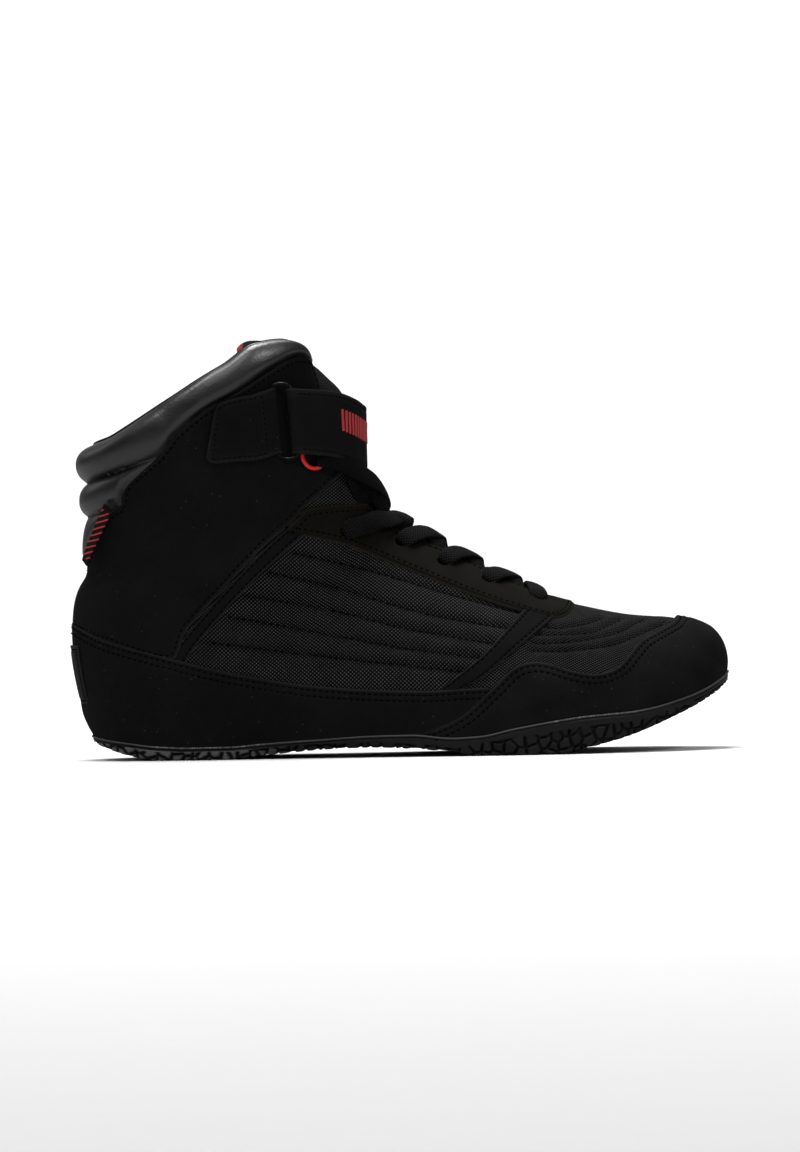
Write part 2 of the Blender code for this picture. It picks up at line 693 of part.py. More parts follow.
def build_outsole(looks):
    u = outline_columns()
    x = foot(u)[:, 0]
    margin = pchip([-136, -60, 0, 40, 100, 144], [1.8, 1.9, 2.2, 2.8, 2.8, 2.7], x)
    grip = np.clip((x - 20) / 20, 0, 1)
    floor = lambda px: sole_tread(px) + LUG_HEIGHT
    side_low = lambda px: sole_tread(px) + LUG_HEIGHT + 0.9
    rings = [
        sole_ring(u, 0.35 + 0 * margin, platform),
        sole_ring(u, 1.0 + 0 * margin, sole_rim, True),
        sole_ring(u, margin, lambda px: sole_rim(px) - 0.1, True),
        sole_ring(u, margin, lambda px: sole_rim(px) - 0.9, True),
        sole_ring(u, margin - 0.6, lambda px: sole_rim(px) - 1.2, True),
        sole_ring(u, margin - 0.5, side_low),
        sole_ring(u, margin - 1.4, floor),
        sole_ring(u, margin - 12.0, floor),
    ]
    bm = bmesh.new()
    rows = [[bm.verts.new(p) for p in ring_points] for ring_points in rings]
    n = len(u)
    bands = []
    for a, b in zip(rows, rows[1:]):
        bands.append([bm.faces.new((a[i], a[(i + 1) % n], b[(i + 1) % n], b[i])) for i in range(n)])
    ladder(bm, rows[0])
    middle = ladder(bm, rows[-1])
    bmesh.ops.recalc_face_normals(bm, faces=bm.faces)
    bm.normal_update()
    lugs = [face for face in bands[6] if face.calc_area() > 45]
    bmesh.ops.inset_individual(bm, faces=lugs, thickness=GROOVE, use_even_offset=True)
    bmesh.ops.inset_individual(bm, faces=lugs, thickness=0.15, use_even_offset=True)
    plate = middle
    bmesh.ops.inset_region(bm, faces=plate, thickness=GROOVE, use_even_offset=True)
    bmesh.ops.inset_region(bm, faces=plate, thickness=0.15, use_even_offset=True)
    for vert in {v for face in lugs + plate for v in face.verts}:
        vert.co.z = float(sole_tread(vert.co.x))
    blocks = [bands[4][i] for i in range(n) if min(grip[i], grip[(i + 1) % n]) > 0.9]
    blocks = [f for f in blocks if f.calc_center_median().x < 128 and f.calc_area() > 30]
    bmesh.ops.inset_individual(bm, faces=blocks, thickness=0.7, use_even_offset=True)
    bmesh.ops.inset_individual(bm, faces=blocks, thickness=0.1, depth=0.7, use_even_offset=True)
    add_object("outsole", bm, looks["rubber"])


def build_insole(looks):
    u = outline_columns()
    bm = bmesh.new()
    rings = []
    for margin, lift in ((-3.4, SEAT), (-3.4, SEAT + INSOLE_THICK - 0.8), (-4.4, SEAT + INSOLE_THICK)):
        p = sole_ring(u, margin + 0 * u, lambda px: platform(px) + lift)
        rings.append([bm.verts.new(q) for q in p])
    n = len(u)
    for a, b in zip(rings, rings[1:]):
        for i in range(n):
            bm.faces.new((a[i], a[(i + 1) % n], b[(i + 1) % n], b[i]))
    ladder(bm, rings[0])
    ladder(bm, rings[-1])
    add_object("insole", bm, looks["footbed"])


# Tongue and cuff


def tongue_rows():
    """Outer face and inward directions of the tongue, one row to a station."""
    shares = np.linspace(-1, 1, 7)
    rows = []
    for crest, half, thick, inset in TONGUE_FOOT:
        t = np.linspace(0.4, 1.0, 601)
        middle = float(head(np.array(crest))[1])
        points, inward = [], []
        for s in shares:
            c = np.array(crest if s <= 0 else 4 - crest)
            away = np.abs(foot_part(c, t)[:, 1] - middle)
            k = np.array(min(float(np.interp(-abs(s) * half, -away, t)), 0.999))
            n = normal_of(foot_part, c, k)
            points.append(foot_part(c, k) - n * inset)
            inward.append(-n)
        rows.append((points, inward, thick))
    for rise, half, thick, inset in TONGUE_SHAFT:
        angle = -shares * math.radians(half)
        n = normal_of(shaft_part, angle, np.full(7, rise))
        rows.append((shaft_part(angle, rise) - n * inset, -n, thick))
    x, z, half, thick, bend = (column(TONGUE_TOP, TONGUE_TOP_COLUMNS, name) for name in TONGUE_TOP_COLUMNS)
    path = np.stack([x, z], -1)
    along = np.gradient(path, axis=0)
    along /= np.linalg.norm(along, axis=1, keepdims=True)
    for i in range(len(x)):
        down = np.array([-along[i, 1], 0.0, along[i, 0]])
        points = [
            np.array([path[i, 0], RING_Y + half[i] * s, path[i, 1]]) + down * bend[i] * s * s for s in shares
        ]
        rows.append((points, [down] * 7, thick[i]))
    return rows


def build_tongue(looks):
    rings = []
    for points, inward, thick in tongue_rows():
        edge = thick * (1 - 0.6 * np.abs(np.linspace(-1, 1, 7)) ** 3)
        under = [np.asarray(p) + np.asarray(n) * e for p, n, e in zip(points, inward, edge)]
        rings.append(list(points) + under[::-1])
    add_object("tongue", loft(rings), looks["tongue"])


def build_cuff(looks):
    """Padded leather cuff: pad heights follow the top roll and two channels that fade from the heel."""
    crests = [c for c in CRESTS if c >= THROAT_CREST - 1e-6]
    crests = crests + [4 - c for c in crests[-2::-1]]
    edge = smooth_line(CUFF_EDGE)
    rings = []
    for c in crests:
        v = np.linspace(0, 1, 401)
        line = shaft_part(shaft_angle(np.array(c), v), v)
        above = line[:, 2] - np.interp(line[:, 0], edge[:, 0], edge[:, 1])
        start = float(v[np.argmax(above > 0.9)])
        z_low, z_high = np.interp(start, v, line[:, 2]), line[-1, 2]
        x_mid = line[200, 0]
        near = np.clip((-100 - x_mid) / 30, 0, 1)
        first = (107.5 + (x_mid + 138) * 0.33 - z_low) / (z_high - z_low)
        second = (121.7 + (x_mid + 139) * 0.33 - z_low) / (z_high - z_low)
        first_depth = np.clip((first - 0.05) / 0.2, 0, 1) * near
        second_depth = np.clip((second - 0.1) / 0.2, 0, 1) * near
        first = np.clip(first, 0.2, 0.45)
        second = np.clip(second, first + 0.2, 0.7)
        pad = 0.72 + 0.28 * near
        levels = [
            (0.0, 1.2), (first * 0.5, 4.4 * pad), (first, 4.8 * pad - 3.0 * first_depth),
            ((first + second) / 2, 5.4 * pad), (second, 5.6 * pad - 3.2 * second_depth),
            (second + (1 - second) * 0.35, 6.3 * pad), (second + (1 - second) * 0.75, 6.0 * pad), (1.0, 4.2 * pad),
        ]
        rise = start + (1 - start) * np.array([k for k, _ in levels])
        off = np.array([p for _, p in levels])
        angle = shaft_angle(np.array(c), rise)
        points = shaft_part(angle, rise)
        face = normal_of(shaft_part, angle, rise)
        crown = points[-1] + np.array([0.0, 0.0, 2.6]) + face[-1] * 1.9
        inside = [p + n * (GAP + 0.1) for p, n in zip(points, face)]
        rings.append(
            [p + n * (GAP + 0.1 + o) for p, n, o in zip(points, face, off)]
            + [crown, inside[-1] + np.array([0.0, 0.0, 1.6])]
            + inside[-2:0:-2] + [inside[0]]
        )
    add_object("collar_cuff", loft(rings), looks["leather"])


# Strap, ring, tab and label


def shaft_at(angle, height):
    """Rise at which the shaft reaches a height, for an angle from the front."""
    v = np.linspace(-0.2, 1.2, 281)
    return float(np.interp(height, shaft_part(angle, v)[:, 2], v))


def strap_frame(angle_deg, height, off, lean=0.3):
    """Point off the shaft and its outward direction; lean is the share of the shaft's slope that it keeps."""
    angle = math.radians(angle_deg)
    v = shaft_at(angle, height)
    p = shaft_part(np.array(angle), np.array(v))
    n = normal_of(shaft_part, np.array(angle), np.array(v))
    n[2] *= lean
    n /= np.linalg.norm(n)
    return p + n * off, n


def build_strap(looks):
    a, h, off = (column(STRAP, STRAP_COLUMNS, name) for name in STRAP_COLUMNS)
    fine = np.linspace(a[0], a[-1], 21)
    heights = pchip(-a, h, -fine)
    offs = pchip(-a, off, -fine)
    frames = [strap_frame(*row) for row in zip(fine, heights, offs)]
    middle = np.array([p for p, _ in frames])
    facing = np.array([n for _, n in frames])
    along = np.gradient(middle, axis=0)
    along /= np.linalg.norm(along, axis=1, keepdims=True)
    span = np.cross(facing, along)
    span /= np.linalg.norm(span, axis=1, keepdims=True)
    thick = STRAP_THICK
    lie = 2 * thick + GAP
    loop = WIRE_RADIUS + 0.45 + thick
    bar = middle[0] - along[0] * 1.5 + facing[0] * loop
    lifts = np.full(len(middle), lie)
    lifts[:4] = (2 * loop, 2 * loop - 0.9, lie + 0.7, lie + 0.1)
    turns = [math.pi * k / 6 for k in range(0, 7)]
    turn = [bar - (along[0] * math.sin(w) + facing[0] * math.cos(w)) * loop for w in turns]
    inward = [along[0] * math.sin(w) + facing[0] * math.cos(w) for w in turns]
    over = [m + f * k for m, f, k in zip(middle, facing, lifts)]
    path = np.array(list(middle[::-1]) + turn + over[:-3])
    outs = list(facing[::-1]) + inward + list(-facing)[:-3]
    spans = list(span[::-1]) + [span[0]] * len(turn) + list(span)[:-3]
    add_object("strap", ribbon(path, np.array(outs), STRAP_WIDTH, thick, 1, np.array(spans)), looks["webbing"])
    return bar, along[0], facing[0], span[0]


def wire_loop(name, points, radius, made):
    """Closed round wire through points."""
    curve = bpy.data.curves.new(name, "CURVE")
    curve.dimensions = "3D"
    curve.bevel_depth = radius * MM
    curve.bevel_resolution = 1
    spline = curve.splines.new("POLY")
    spline.points.add(len(points) - 1)
    for point, p in zip(spline.points, points):
        point.co = (*((np.asarray(p) + CENTRE) * MM), 1.0)
    spline.use_cyclic_u = True
    curve.materials.append(made)
    bpy.data.collections["training_shoe"].objects.link(bpy.data.objects.new(name, curve))


def build_ring(looks, bar, along, facing, span):
    """Wire ring: one long bar in the strap's fold, the other in the tab's fold."""
    tall, wide, corner = STRAP_WIDTH / 2 + 3.8, 8.6, 3.0
    back = bar - along * wide + facing * 0.4
    path = []
    for side, sign in ((bar, 1), (back, -1)):
        for k in np.linspace(-1, 1, 2):
            path.append(side + span * sign * k * (tall - corner))
    a0, a1, b0, b1 = path
    turn_a = (a1 + b0) / 2 + span * corner
    turn_b = (b1 + a0) / 2 - span * corner
    around = []
    for start, far, end in ((a1, turn_a, b0), (b1, turn_b, a0)):
        around.append(start)
        for f in (0.25, 0.5, 0.75):
            around.append((1 - f) ** 2 * start + 2 * f * (1 - f) * (2 * far - (start + end) / 2) + f * f * end)
        around.append(end)
    wire_loop("strap_ring", around, WIRE_RADIUS, looks["wire"])
    return back


def build_tab(looks, bar, along, facing, span):
    """Sewn tab: a flat patch on the ankle panel whose front edge folds round the ring."""
    thick = 1.2
    path, outs = [], []
    for k in range(-3, 9):
        w = math.pi * k / 6
        out = math.cos(w) * along - math.sin(w) * facing
        path.append(bar + out * (WIRE_RADIUS + 0.4))
        outs.append(out)
    spans = [span] * len(path)
    for angle, height, width, lift in TAB:
        p, n = strap_frame(angle, height, GAP + OVERLAY + lift, 1.0)
        path.insert(0, p)
        outs.insert(0, n)
        up = np.array([0.0, 0.0, 1.0]) - n * n[2]
        spans.insert(0, up * np.sign(up @ span))
    first = len(TAB)
    keep = list(range(first)) + list(range(first + 9, first - 1, -1))
    widths = list(column(TAB, TAB_COLUMNS, "width"))[::-1] + [27.0] * 10
    pick = [np.array(values)[keep] for values in (path, outs, spans)]
    add_object("strap_tab", ribbon(pick[0], pick[1], widths, thick, 1, pick[2]), looks["nubuck"])


def build_label(looks):
    """Narrow woven label at the side of the heel."""
    line = [(-127.5, 112.0), (-131.5, 103.5), (-136.0, 95.0), (-139.0, 87.5)]
    path, outs = [], []
    for x, z in line:
        angle = np.linspace(math.radians(100), math.radians(178), 200)
        far = [abs(shaft_part(np.array(a), np.array(shaft_at(a, z)))[0] - 1.5 - x) for a in angle]
        a = math.degrees(angle[int(np.argmin(far))])
        p, n = strap_frame(a, z, 5.05)
        path.append(p)
        outs.append(n)
    add_object("heel_label", ribbon(path, outs, 9.0, 0.8), looks["woven"])


# Lace


def over_instep(side_crest, reach, lift):
    """Point above the instep: reach -1 to 1 runs from the outer eyelets to the inner ones."""
    c = side_crest if reach <= 0 else 4 - side_crest
    edge = EYELET_T[0](side_crest) if reach <= 0 else EYELET_T[1](side_crest)
    t = 1 - abs(reach) * (1 - edge)
    c, t = np.array(float(c)), np.array(float(t))
    n = normal_of(foot_part, c, np.minimum(t, 0.999))
    return foot_part(c, t) + n * lift, n


EYELET_T = []


def eyelet_rows():
    rows = []
    for inner in (False, True):
        spots = [side_point(x, z, inner) for x, z in EYELETS]
        crest = np.array([float(fold(np.array(c))) for c, _ in spots])
        t = np.array([t for _, t in spots])
        order = np.argsort(crest)
        EYELET_T.append(lambda c, xs=crest[order], ts=t[order]: float(np.interp(c, xs, ts)))
        rows.append(crest)
    return rows


def lace_band(start, end, sign, high):
    """One run of lace from an eyelet at crest start to the throat's far edge at crest end."""
    path, outs = [], []
    for f in np.linspace(0, 1, 7):
        reach = sign * (-1 + 1.16 * f)
        lift = 2.3 + (high - 2.3) * math.sin(min(f / 0.8, 1.0) * math.pi / 2)
        p, n = over_instep(start + (end - start) * f, reach, lift)
        path.append(p)
        outs.append(n)
    return path, outs


def corner_band(start, sign, high):
    """The run from the eyelet nearest the ankle, over the turn of the instep."""
    edge = EYELET_T[0](start) if sign > 0 else EYELET_T[1](start)
    stops = []
    for f in (0.0, 0.5, 1.0):
        c = start + (CORNER_EDGE - start) * f
        t = edge + (throat_end(CORNER_EDGE) - edge) * f
        c, t = np.array(c if sign > 0 else 4 - c), np.array(t)
        n = normal_of(foot_part, c, t)
        stops.append((foot_part(c, t) + n * (2.3 + (high - 2.3) * f), n))
    stops.append(over_instep(CORNER_FAR, sign * 0.3, high))
    return smooth_line([p for p, _ in stops]), smooth_line([n for _, n in stops])


def build_laces(looks):
    rows = eyelet_rows()
    outer = rows[0]
    for k in range(len(outer) - 1):
        far = outer[k] + (outer[k + 1] - outer[k]) * LACE_LEAN[k]
        runs = []
        for sign, high in ((1, 3.3), (-1, 2.5)):
            run = lace_band(outer[k], far, sign, high) if k else corner_band(outer[k], sign, high)
            runs.append(ribbon(*run, LACE_WIDTH, LACE_THICK))
        first, second = runs
        crossing = add_object(f"lace_crossing_{k + 1}", first, looks["lace"])
        other = add_object(f"cut_lace_{k + 1}", second, None, "cutters")
        boolean(crossing, other, "UNION")
    bands = []
    for sign, high in ((1, 0.8), (-1, 0.0)):
        path, outs = [], []
        for angle, height, off in LACE_TOP:
            p, n = strap_frame(sign * angle, height, off + high)
            path.append(p)
            outs.append(n)
        bands.append(ribbon(path, outs, LACE_WIDTH, LACE_THICK))
    crossing = add_object("lace_crossing_top", bands[0], looks["lace"])
    boolean(crossing, add_object("cut_lace_top", bands[1], None, "cutters"), "UNION")
    for side, sign in (("lateral", 1), ("medial", -1)):
        angle = math.radians(sign * LACE_RING_ANGLE)
        rise = np.array(shaft_at(angle, LACE_RING_HEIGHT))
        n = normal_of(shaft_part, np.array(angle), rise)
        p = shaft_part(np.array(angle), rise) + n * (GAP + OVERLAY + GAP + WIRE_RADIUS)
        east = np.cross(n, (0.0, 0.0, 1.0))
        east /= np.linalg.norm(east)
        north = np.cross(east, n)
        turns = [2 * math.pi * k / 12 for k in range(12)]
        loop = [p + (east * math.cos(w) + north * math.sin(w)) * LACE_RING_RADIUS for w in turns]
        wire_loop(f"lace_ring_{side}", loop, WIRE_RADIUS, looks["red"])
    path, outs = [], []
    for reach in np.linspace(-1, 1, 7):
        p, n = over_instep(outer[-1], reach, 2.3)
        path.append(p)
        outs.append(n)
    add_object("lace_bar", ribbon(path, outs, LACE_WIDTH, LACE_THICK), looks["lace"])


def make_looks():
    return {
        "textile": material("textile", (0.018, 0.017, 0.018), 0.85),
        "nubuck": material("nubuck", (0.007, 0.007, 0.008), 0.9),
        "facing": material("facing", (0.014, 0.013, 0.011), 0.9),
        "leather": material("leather", (0.006, 0.006, 0.006), 0.35),
        "rubber": material("rubber", (0.026, 0.026, 0.027), 0.6),
        "footbed": material("footbed", (0.02, 0.02, 0.02), 0.9),
        "tongue": material("tongue_fabric", (0.02, 0.019, 0.02), 0.9),
        "webbing": material("webbing", (0.009, 0.009, 0.01), 0.8),
        "wire": material("wire", (0.01, 0.01, 0.01), 0.3, 0.9),
        "lace": material("lace", (0.03, 0.029, 0.03), 0.9),
        "patch": material("patch", (0.02, 0.02, 0.02), 0.7),
        "woven": material("woven_label", (0.01, 0.01, 0.01), 0.8),
        "red": material("red_ring", (0.42, 0.02, 0.03), 0.3),
    }


def main():
    clear_scene()
    looks = make_looks()
    build_outsole(looks)
    build_insole(looks)
    punches = build_upper(looks)
    build_tongue(looks)
    build_overlays(looks, punches)
    build_cuff(looks)
    frame = build_strap(looks)
    back = build_ring(looks, *frame)
    build_tab(looks, back, *frame[1:])
    build_label(looks)
    build_laces(looks)


main()
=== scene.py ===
"""Looks of a black high-top training shoe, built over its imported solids.

Shapes are worked out in millimetres from one form: columns that rise from the sole's edge to the ridge over
the foot, or past the ankle to the collar's top line. Panels, seams and trim are laid on that form.
"""

from __future__ import annotations

import logging
import math
from collections.abc import Callable, Sequence
from dataclasses import dataclass, field
from enum import Enum

import bmesh
import bpy
import numpy as np
from mathutils import Matrix, Vector, kdtree

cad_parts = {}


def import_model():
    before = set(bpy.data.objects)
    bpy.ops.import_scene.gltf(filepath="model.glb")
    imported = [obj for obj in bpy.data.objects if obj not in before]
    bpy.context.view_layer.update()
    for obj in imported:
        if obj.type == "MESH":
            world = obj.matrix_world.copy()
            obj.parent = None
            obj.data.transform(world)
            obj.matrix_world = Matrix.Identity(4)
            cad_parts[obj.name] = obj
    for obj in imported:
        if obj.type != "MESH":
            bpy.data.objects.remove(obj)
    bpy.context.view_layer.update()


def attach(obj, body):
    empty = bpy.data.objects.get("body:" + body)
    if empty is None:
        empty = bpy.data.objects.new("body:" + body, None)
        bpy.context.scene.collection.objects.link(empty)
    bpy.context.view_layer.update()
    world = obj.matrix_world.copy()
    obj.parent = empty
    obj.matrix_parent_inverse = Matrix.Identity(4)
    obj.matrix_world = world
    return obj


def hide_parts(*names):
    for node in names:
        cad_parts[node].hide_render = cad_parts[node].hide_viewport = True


log = logging.getLogger("shoe")

MM = 0.001
# From the drawing's zero to the middle of the shoe's box
CENTRE = np.array((0.3873, -0.5144, 0.0))
UP = np.array((0.0, 0.0, 1.0))
# Step over which slopes are measured
STEP = 1e-3

Array = np.ndarray
Table = tuple[tuple[float, ...], ...]
Line = tuple[tuple[float, float], ...]
Faces = list[tuple[int, ...]]
Shell = tuple[Array, Faces]
Object = bpy.types.Object
Material = bpy.types.Material
Tree = bpy.types.NodeTree
Socket = bpy.types.NodeSocket
Looks = dict[str, Material]


# Curves


def pchip(xs: Sequence[float], ys: Sequence[float], x: Array) -> Array:
    """Smooth curve through points that never overshoots.

    Args:
        xs: Rising stations.
        ys: Values at the stations.
        x: Where to read the curve.
    Returns:
        The curve's values at x.
    """
    xs, ys = np.asarray(xs, float), np.asarray(ys, float)
    step = np.diff(xs)
    rise = np.diff(ys) / step
    slope = np.zeros(len(xs))
    slope[0], slope[-1] = rise[0], rise[-1]
    for i in range(1, len(xs) - 1):
        if rise[i - 1] * rise[i] > 0:
            a = 2 * step[i] + step[i - 1]
            b = step[i] + 2 * step[i - 1]
            slope[i] = (a + b) / (a / rise[i - 1] + b / rise[i])
    x = np.clip(x, xs[0], xs[-1])
    i = np.clip(np.searchsorted(xs, x, side="right") - 1, 0, len(xs) - 2)
    s = (x - xs[i]) / step[i]
    return (
        (1 + 2 * s) * (1 - s) ** 2 * ys[i]
        + s * (1 - s) ** 2 * step[i] * slope[i]
        + s * s * (3 - 2 * s) * ys[i + 1]
        + s * s * (s - 1) * step[i] * slope[i + 1]
    )


def column(table: Table, x: Array, k: int = 1) -> Array:
    """Smooth curve through column k of a table whose column 0 holds the stations."""
    return pchip([row[0] for row in table], [row[k] for row in table], x)


def spline(before: Array, start: Array, stop: Array, after: Array, f: Array) -> Array:
    """Smooth curve between the middle two of four values, at a share f of the way."""
    bend = 3 * (start - stop) + after - before
    return start + 0.5 * f * (stop - before + f * (2 * before - 5 * start + 4 * stop - after + f * bend))


def catmull(points: Sequence, pieces: int) -> Array:
    """Points along a smooth curve through the given ones.

    Args:
        points: Two or more points of any dimension.
        pieces: Pieces that each gap is cut into.
    Returns:
        The finer points, ends included.
    """
    p = np.asarray(points, float)
    p = np.concatenate([2 * p[:1] - p[1:2], p, 2 * p[-1:] - p[-2:-1]])
    f = (np.arange(pieces) / pieces).reshape((-1,) + (1,) * (p.ndim - 1))
    return np.concatenate([spline(*p[i : i + 4], f) for i in range(len(p) - 3)] + [p[-2:-1]])


def lengths(points: Array) -> Array:
    """Distance along a line of points, from its start."""
    return np.concatenate([[0], np.cumsum(np.linalg.norm(np.diff(points, axis=0), axis=1))])


def read_line(points: Array, run: Array, at: Array) -> Array:
    """Values between a line's points at some distances, given each point's distance."""
    return np.stack([np.interp(at, run, values) for values in points.T], -1)


def evenly(points: Array, step: float) -> Array:
    """Points about a step apart along a line, ends included."""
    run = lengths(points)
    return read_line(points, run, np.linspace(0, run[-1], max(int(round(run[-1] / step)), 2) + 1))


def unit(v: Array) -> Array:
    """Vectors of length one."""
    return v / np.maximum(np.linalg.norm(v, axis=-1, keepdims=True), 1e-9)


def bump(d: Array, width: float) -> Array:
    """Soft hill of height one round zero."""
    return np.exp(-((d / width) ** 2))


def ramp(d: Array, width: float) -> Array:
    """Straight climb from 0 at zero to 1 at a width."""
    return np.clip(d / width, 0, 1)


def rounded(d: Array, radius: float) -> Array:
    """Climb from 0 to 1 along a quarter of a circle."""
    return np.sqrt(1 - (1 - ramp(d, radius)) ** 2)


def eased(share: Array) -> Array:
    """Share from 0 to 1 that starts and ends softly."""
    return share * share * (3 - 2 * share)


def snap(values: Array, targets: Sequence[float]) -> None:
    """Moves the nearest value onto each target."""
    for target in targets:
        values[np.argmin(np.abs(values - target))] = target


def search_tree(points: Sequence) -> kdtree.KDTree:
    """Search tree of points in a plane or in space, numbered in their order."""
    tree = kdtree.KDTree(len(points))
    for i, p in enumerate(points):
        tree.insert((*p, 0)[:3], i)
    tree.balance()
    return tree


@dataclass(frozen=True)
class EdgeLine:
    """A panel's edge seen from the side, as a height for each station along the shoe."""

    points: Line

    def height(self, x: Array) -> Array:
        """Height of the edge at x."""
        fine = catmull(self.points, 8)
        order = np.argsort(fine[:, 0])
        return np.interp(x, fine[order, 0], fine[order, 1])


# Form


@dataclass
class Form:
    """The shoe's outer form, tabulated by crest and rise.

    Crest runs 0 at the toe, 1 at the top of the instep, 2 at the heel, 3 and 4 back on the inner side. Rise
    runs 0 at the sole's edge, 1 at the ridge or the ankle ring, and 2 at the collar's top line.
    """

    # station, height of the tread, height of the rim
    sole: Table = (
        (-138, 9.6, 12), (-131, 5.7, 10), (-120, 2.2, 8.1), (-108, 0, 6.5), (-94, 0, 5.8),
        (-76, 0, 5.9), (-62, 1.4, 6.9), (-35, 3.7, 8.5), (-14, 4.3, 9.6), (4, 3.5, 9.8),
        (22, 1.7, 8.2), (34, 0, 8.8), (48, 0, 11.7), (66, 0, 14.8), (78, 2, 16.5),
        (88, 4.3, 17.3), (98, 7, 18), (108, 10.6, 19.5), (119, 15.2, 22.4), (130, 20.5, 26.3),
        (140, 26.7, 31.8), (147, 33, 37.5),
    )
    # x and y at the sole, crest, then how a column leaves the sole and reaches the top
    meridians: Table = (
        (143.3, 13, 0.00, 0.54, 1, -1, 21), (137.5, -8, 0.03, 0.54, 1.2, -1, 22),
        (123, -26, 0.10, 0.54, 1.6, -0.5, 24), (100, -39, 0.22, 0.52, 2.4, 0, 25),
        (70, -47.5, 0.42, 0.50, 3, 0, 27), (40, -48, 0.62, 0.48, 3.2, 0, 28),
        (8, -43, 0.80, 0.44, 3, 2, 24), (-28, -38, 0.95, 0.42, 3, 10, 26),
        (-47, -36.2, 1.08, 0.41, 3.4, 17, 20), (-66, -34.5, 1.24, 0.40, 4.2, 20, 11.5),
        (-98, -31.5, 1.55, 0.34, 6.5, 22, 5), (-123, -22.5, 1.82, 0.30, 8, 14, 10.5),
        (-135.3, 0, 2.00, 0.30, 8.2, 11, 12.5), (-123, 22.5, 2.18, 0.30, 8, 14, 10.5),
        (-98, 31, 2.45, 0.34, 6.5, 22, 5), (-66, 32.5, 2.76, 0.40, 4.2, 20, 11.5),
        (-47, 32.4, 2.92, 0.41, 3.6, 17, 20), (-28, 32.5, 3.05, 0.42, 3.5, 10, 25),
        (8, 35, 3.20, 0.44, 3.2, 2, 21), (40, 43.5, 3.38, 0.48, 2.6, 0, 24),
        (70, 49, 3.58, 0.50, 2, 0, 24), (100, 48.5, 3.78, 0.52, 1.6, 0, 21),
        (124, 40, 3.90, 0.54, 1.4, -0.5, 21), (138, 28, 3.97, 0.54, 1.2, -1, 21),
    )
    # ridge over the foot
    ridge_line: Table = (
        (-8, 1, 110), (0, 1.5, 104), (10, 2, 97.3), (24, 3, 88.8), (38, 3.8, 80.8),
        (50, 4.6, 74.7), (62, 5.6, 69.6), (72, 6.6, 66.3), (82, 7.6, 63.9), (92, 8.6, 61.6),
        (102, 9.4, 59.8), (112, 10, 58.8),
    )
    # top line of the collar, station and height
    top_line: Table = (
        (-136, 136), (-123, 143), (-101, 156.5), (-80, 169.5), (-60, 179), (-49, 180.5),
        (-41, 178), (-35, 172),
    )
    # half of the throat's opening at each crest, and its edge round the ankle in degrees
    throat: Table = (
        (0.37, 0), (0.385, 3.2), (0.41, 5), (0.46, 6.2), (0.58, 7.2), (0.80, 8), (0.95, 9),
        (1.111, 12),
    )
    front_edge: Table = ((0, 20), (0.25, 29), (0.5, 30), (0.85, 23), (1, 21))
    ring_size: tuple[float, ...] = (-72.75, 64.75, 1, 35, 95.5, 14.5)
    top_size: tuple[float, ...] = (-85.5, 50.5, 35.5)
    lip_height: float = 1.2
    seat: float = 0.6
    throat_crest: float = 1.111
    # crests that get a column of their own where the throat starts
    throat_tip: tuple[float, ...] = (0.37, 0.378, 0.39)
    soften: tuple[float, float, float] = (1.02, 0.17, 0.075)
    columns: int = 1600
    rows: int = 200
    place: Array = field(init=False)
    facing: Array = field(init=False)
    slope_c: Array = field(init=False)
    slope_s: Array = field(init=False)
    girths: Array = field(init=False)

    def __post_init__(self) -> None:
        """Works out the table of the form once."""
        values = np.array([m[2] for m in self.meridians])
        values = np.concatenate([values[-2:] - 4, values, values[:3] + 4])
        self._dense_u = np.linspace(0, len(self.meridians), 4401)
        self._dense_crest = pchip(np.arange(-2, len(values) - 2), values, self._dense_u)
        self._tabulate()
        self._trees = [self._tree(False), self._tree(True)]

    def tread(self, x: Array) -> Array:
        """Height of the tread."""
        return column(self.sole, x)

    def rim(self, x: Array) -> Array:
        """Height of the sole's rim."""
        return column(self.sole, x, 2)

    def platform(self, x: Array) -> Array:
        """Height of the sole's upper face, inside the rim."""
        return self.rim(x) - self.lip_height

    def meridian(self, k: int, u: Array) -> Array:
        """One column of the meridian table as a smooth loop."""
        values = np.array([m[k] for m in self.meridians])
        i = np.floor(u).astype(int)
        return spline(*(values[(i + j) % len(values)] for j in (-1, 0, 1, 2)), u - i)

    def u_of(self, crest: Array) -> Array:
        """Place in the meridian table of a crest."""
        return np.interp(crest, self._dense_crest, self._dense_u)

    def foot(self, u: Array) -> Array:
        """Lower edge of the upper, on the sole."""
        x, y = self.meridian(0, u), self.meridian(1, u)
        return np.stack([x, y, self.platform(x) + self.seat], -1)

    def outward(self, u: Array) -> Array:
        """Level direction away from the shoe at the sole's edge."""
        x, y = (self.meridian(k, u + STEP) - self.meridian(k, u - STEP) for k in (0, 1))
        return -unit(np.stack([y, -x, np.zeros_like(x)], -1))

    def ridge(self, x: Array) -> Array:
        """Point of the ridge over the foot."""
        return np.stack([x, column(self.ridge_line, x), column(self.ridge_line, x, 2)], -1)

    def ring(self, angle: Array) -> Array:
        """Point of the ankle ring, at an angle from the front towards the outer side."""
        x, length, y, width, z, rise = self.ring_size
        return np.stack([x + length * np.cos(angle), y - width * np.sin(angle), z + rise * np.cos(angle)], -1)

    def top(self, angle: Array) -> Array:
        """Point of the collar's top line."""
        centre, length, width = self.top_size
        x = centre + length * np.cos(angle)
        return np.stack([x, self.ring_size[2] - width * np.sin(angle), column(self.top_line, x)], -1)

    @staticmethod
    def fold(crest: Array) -> Array:
        """Crest counted from the toe on either side."""
        return np.where(crest > 2, 4 - crest, crest)

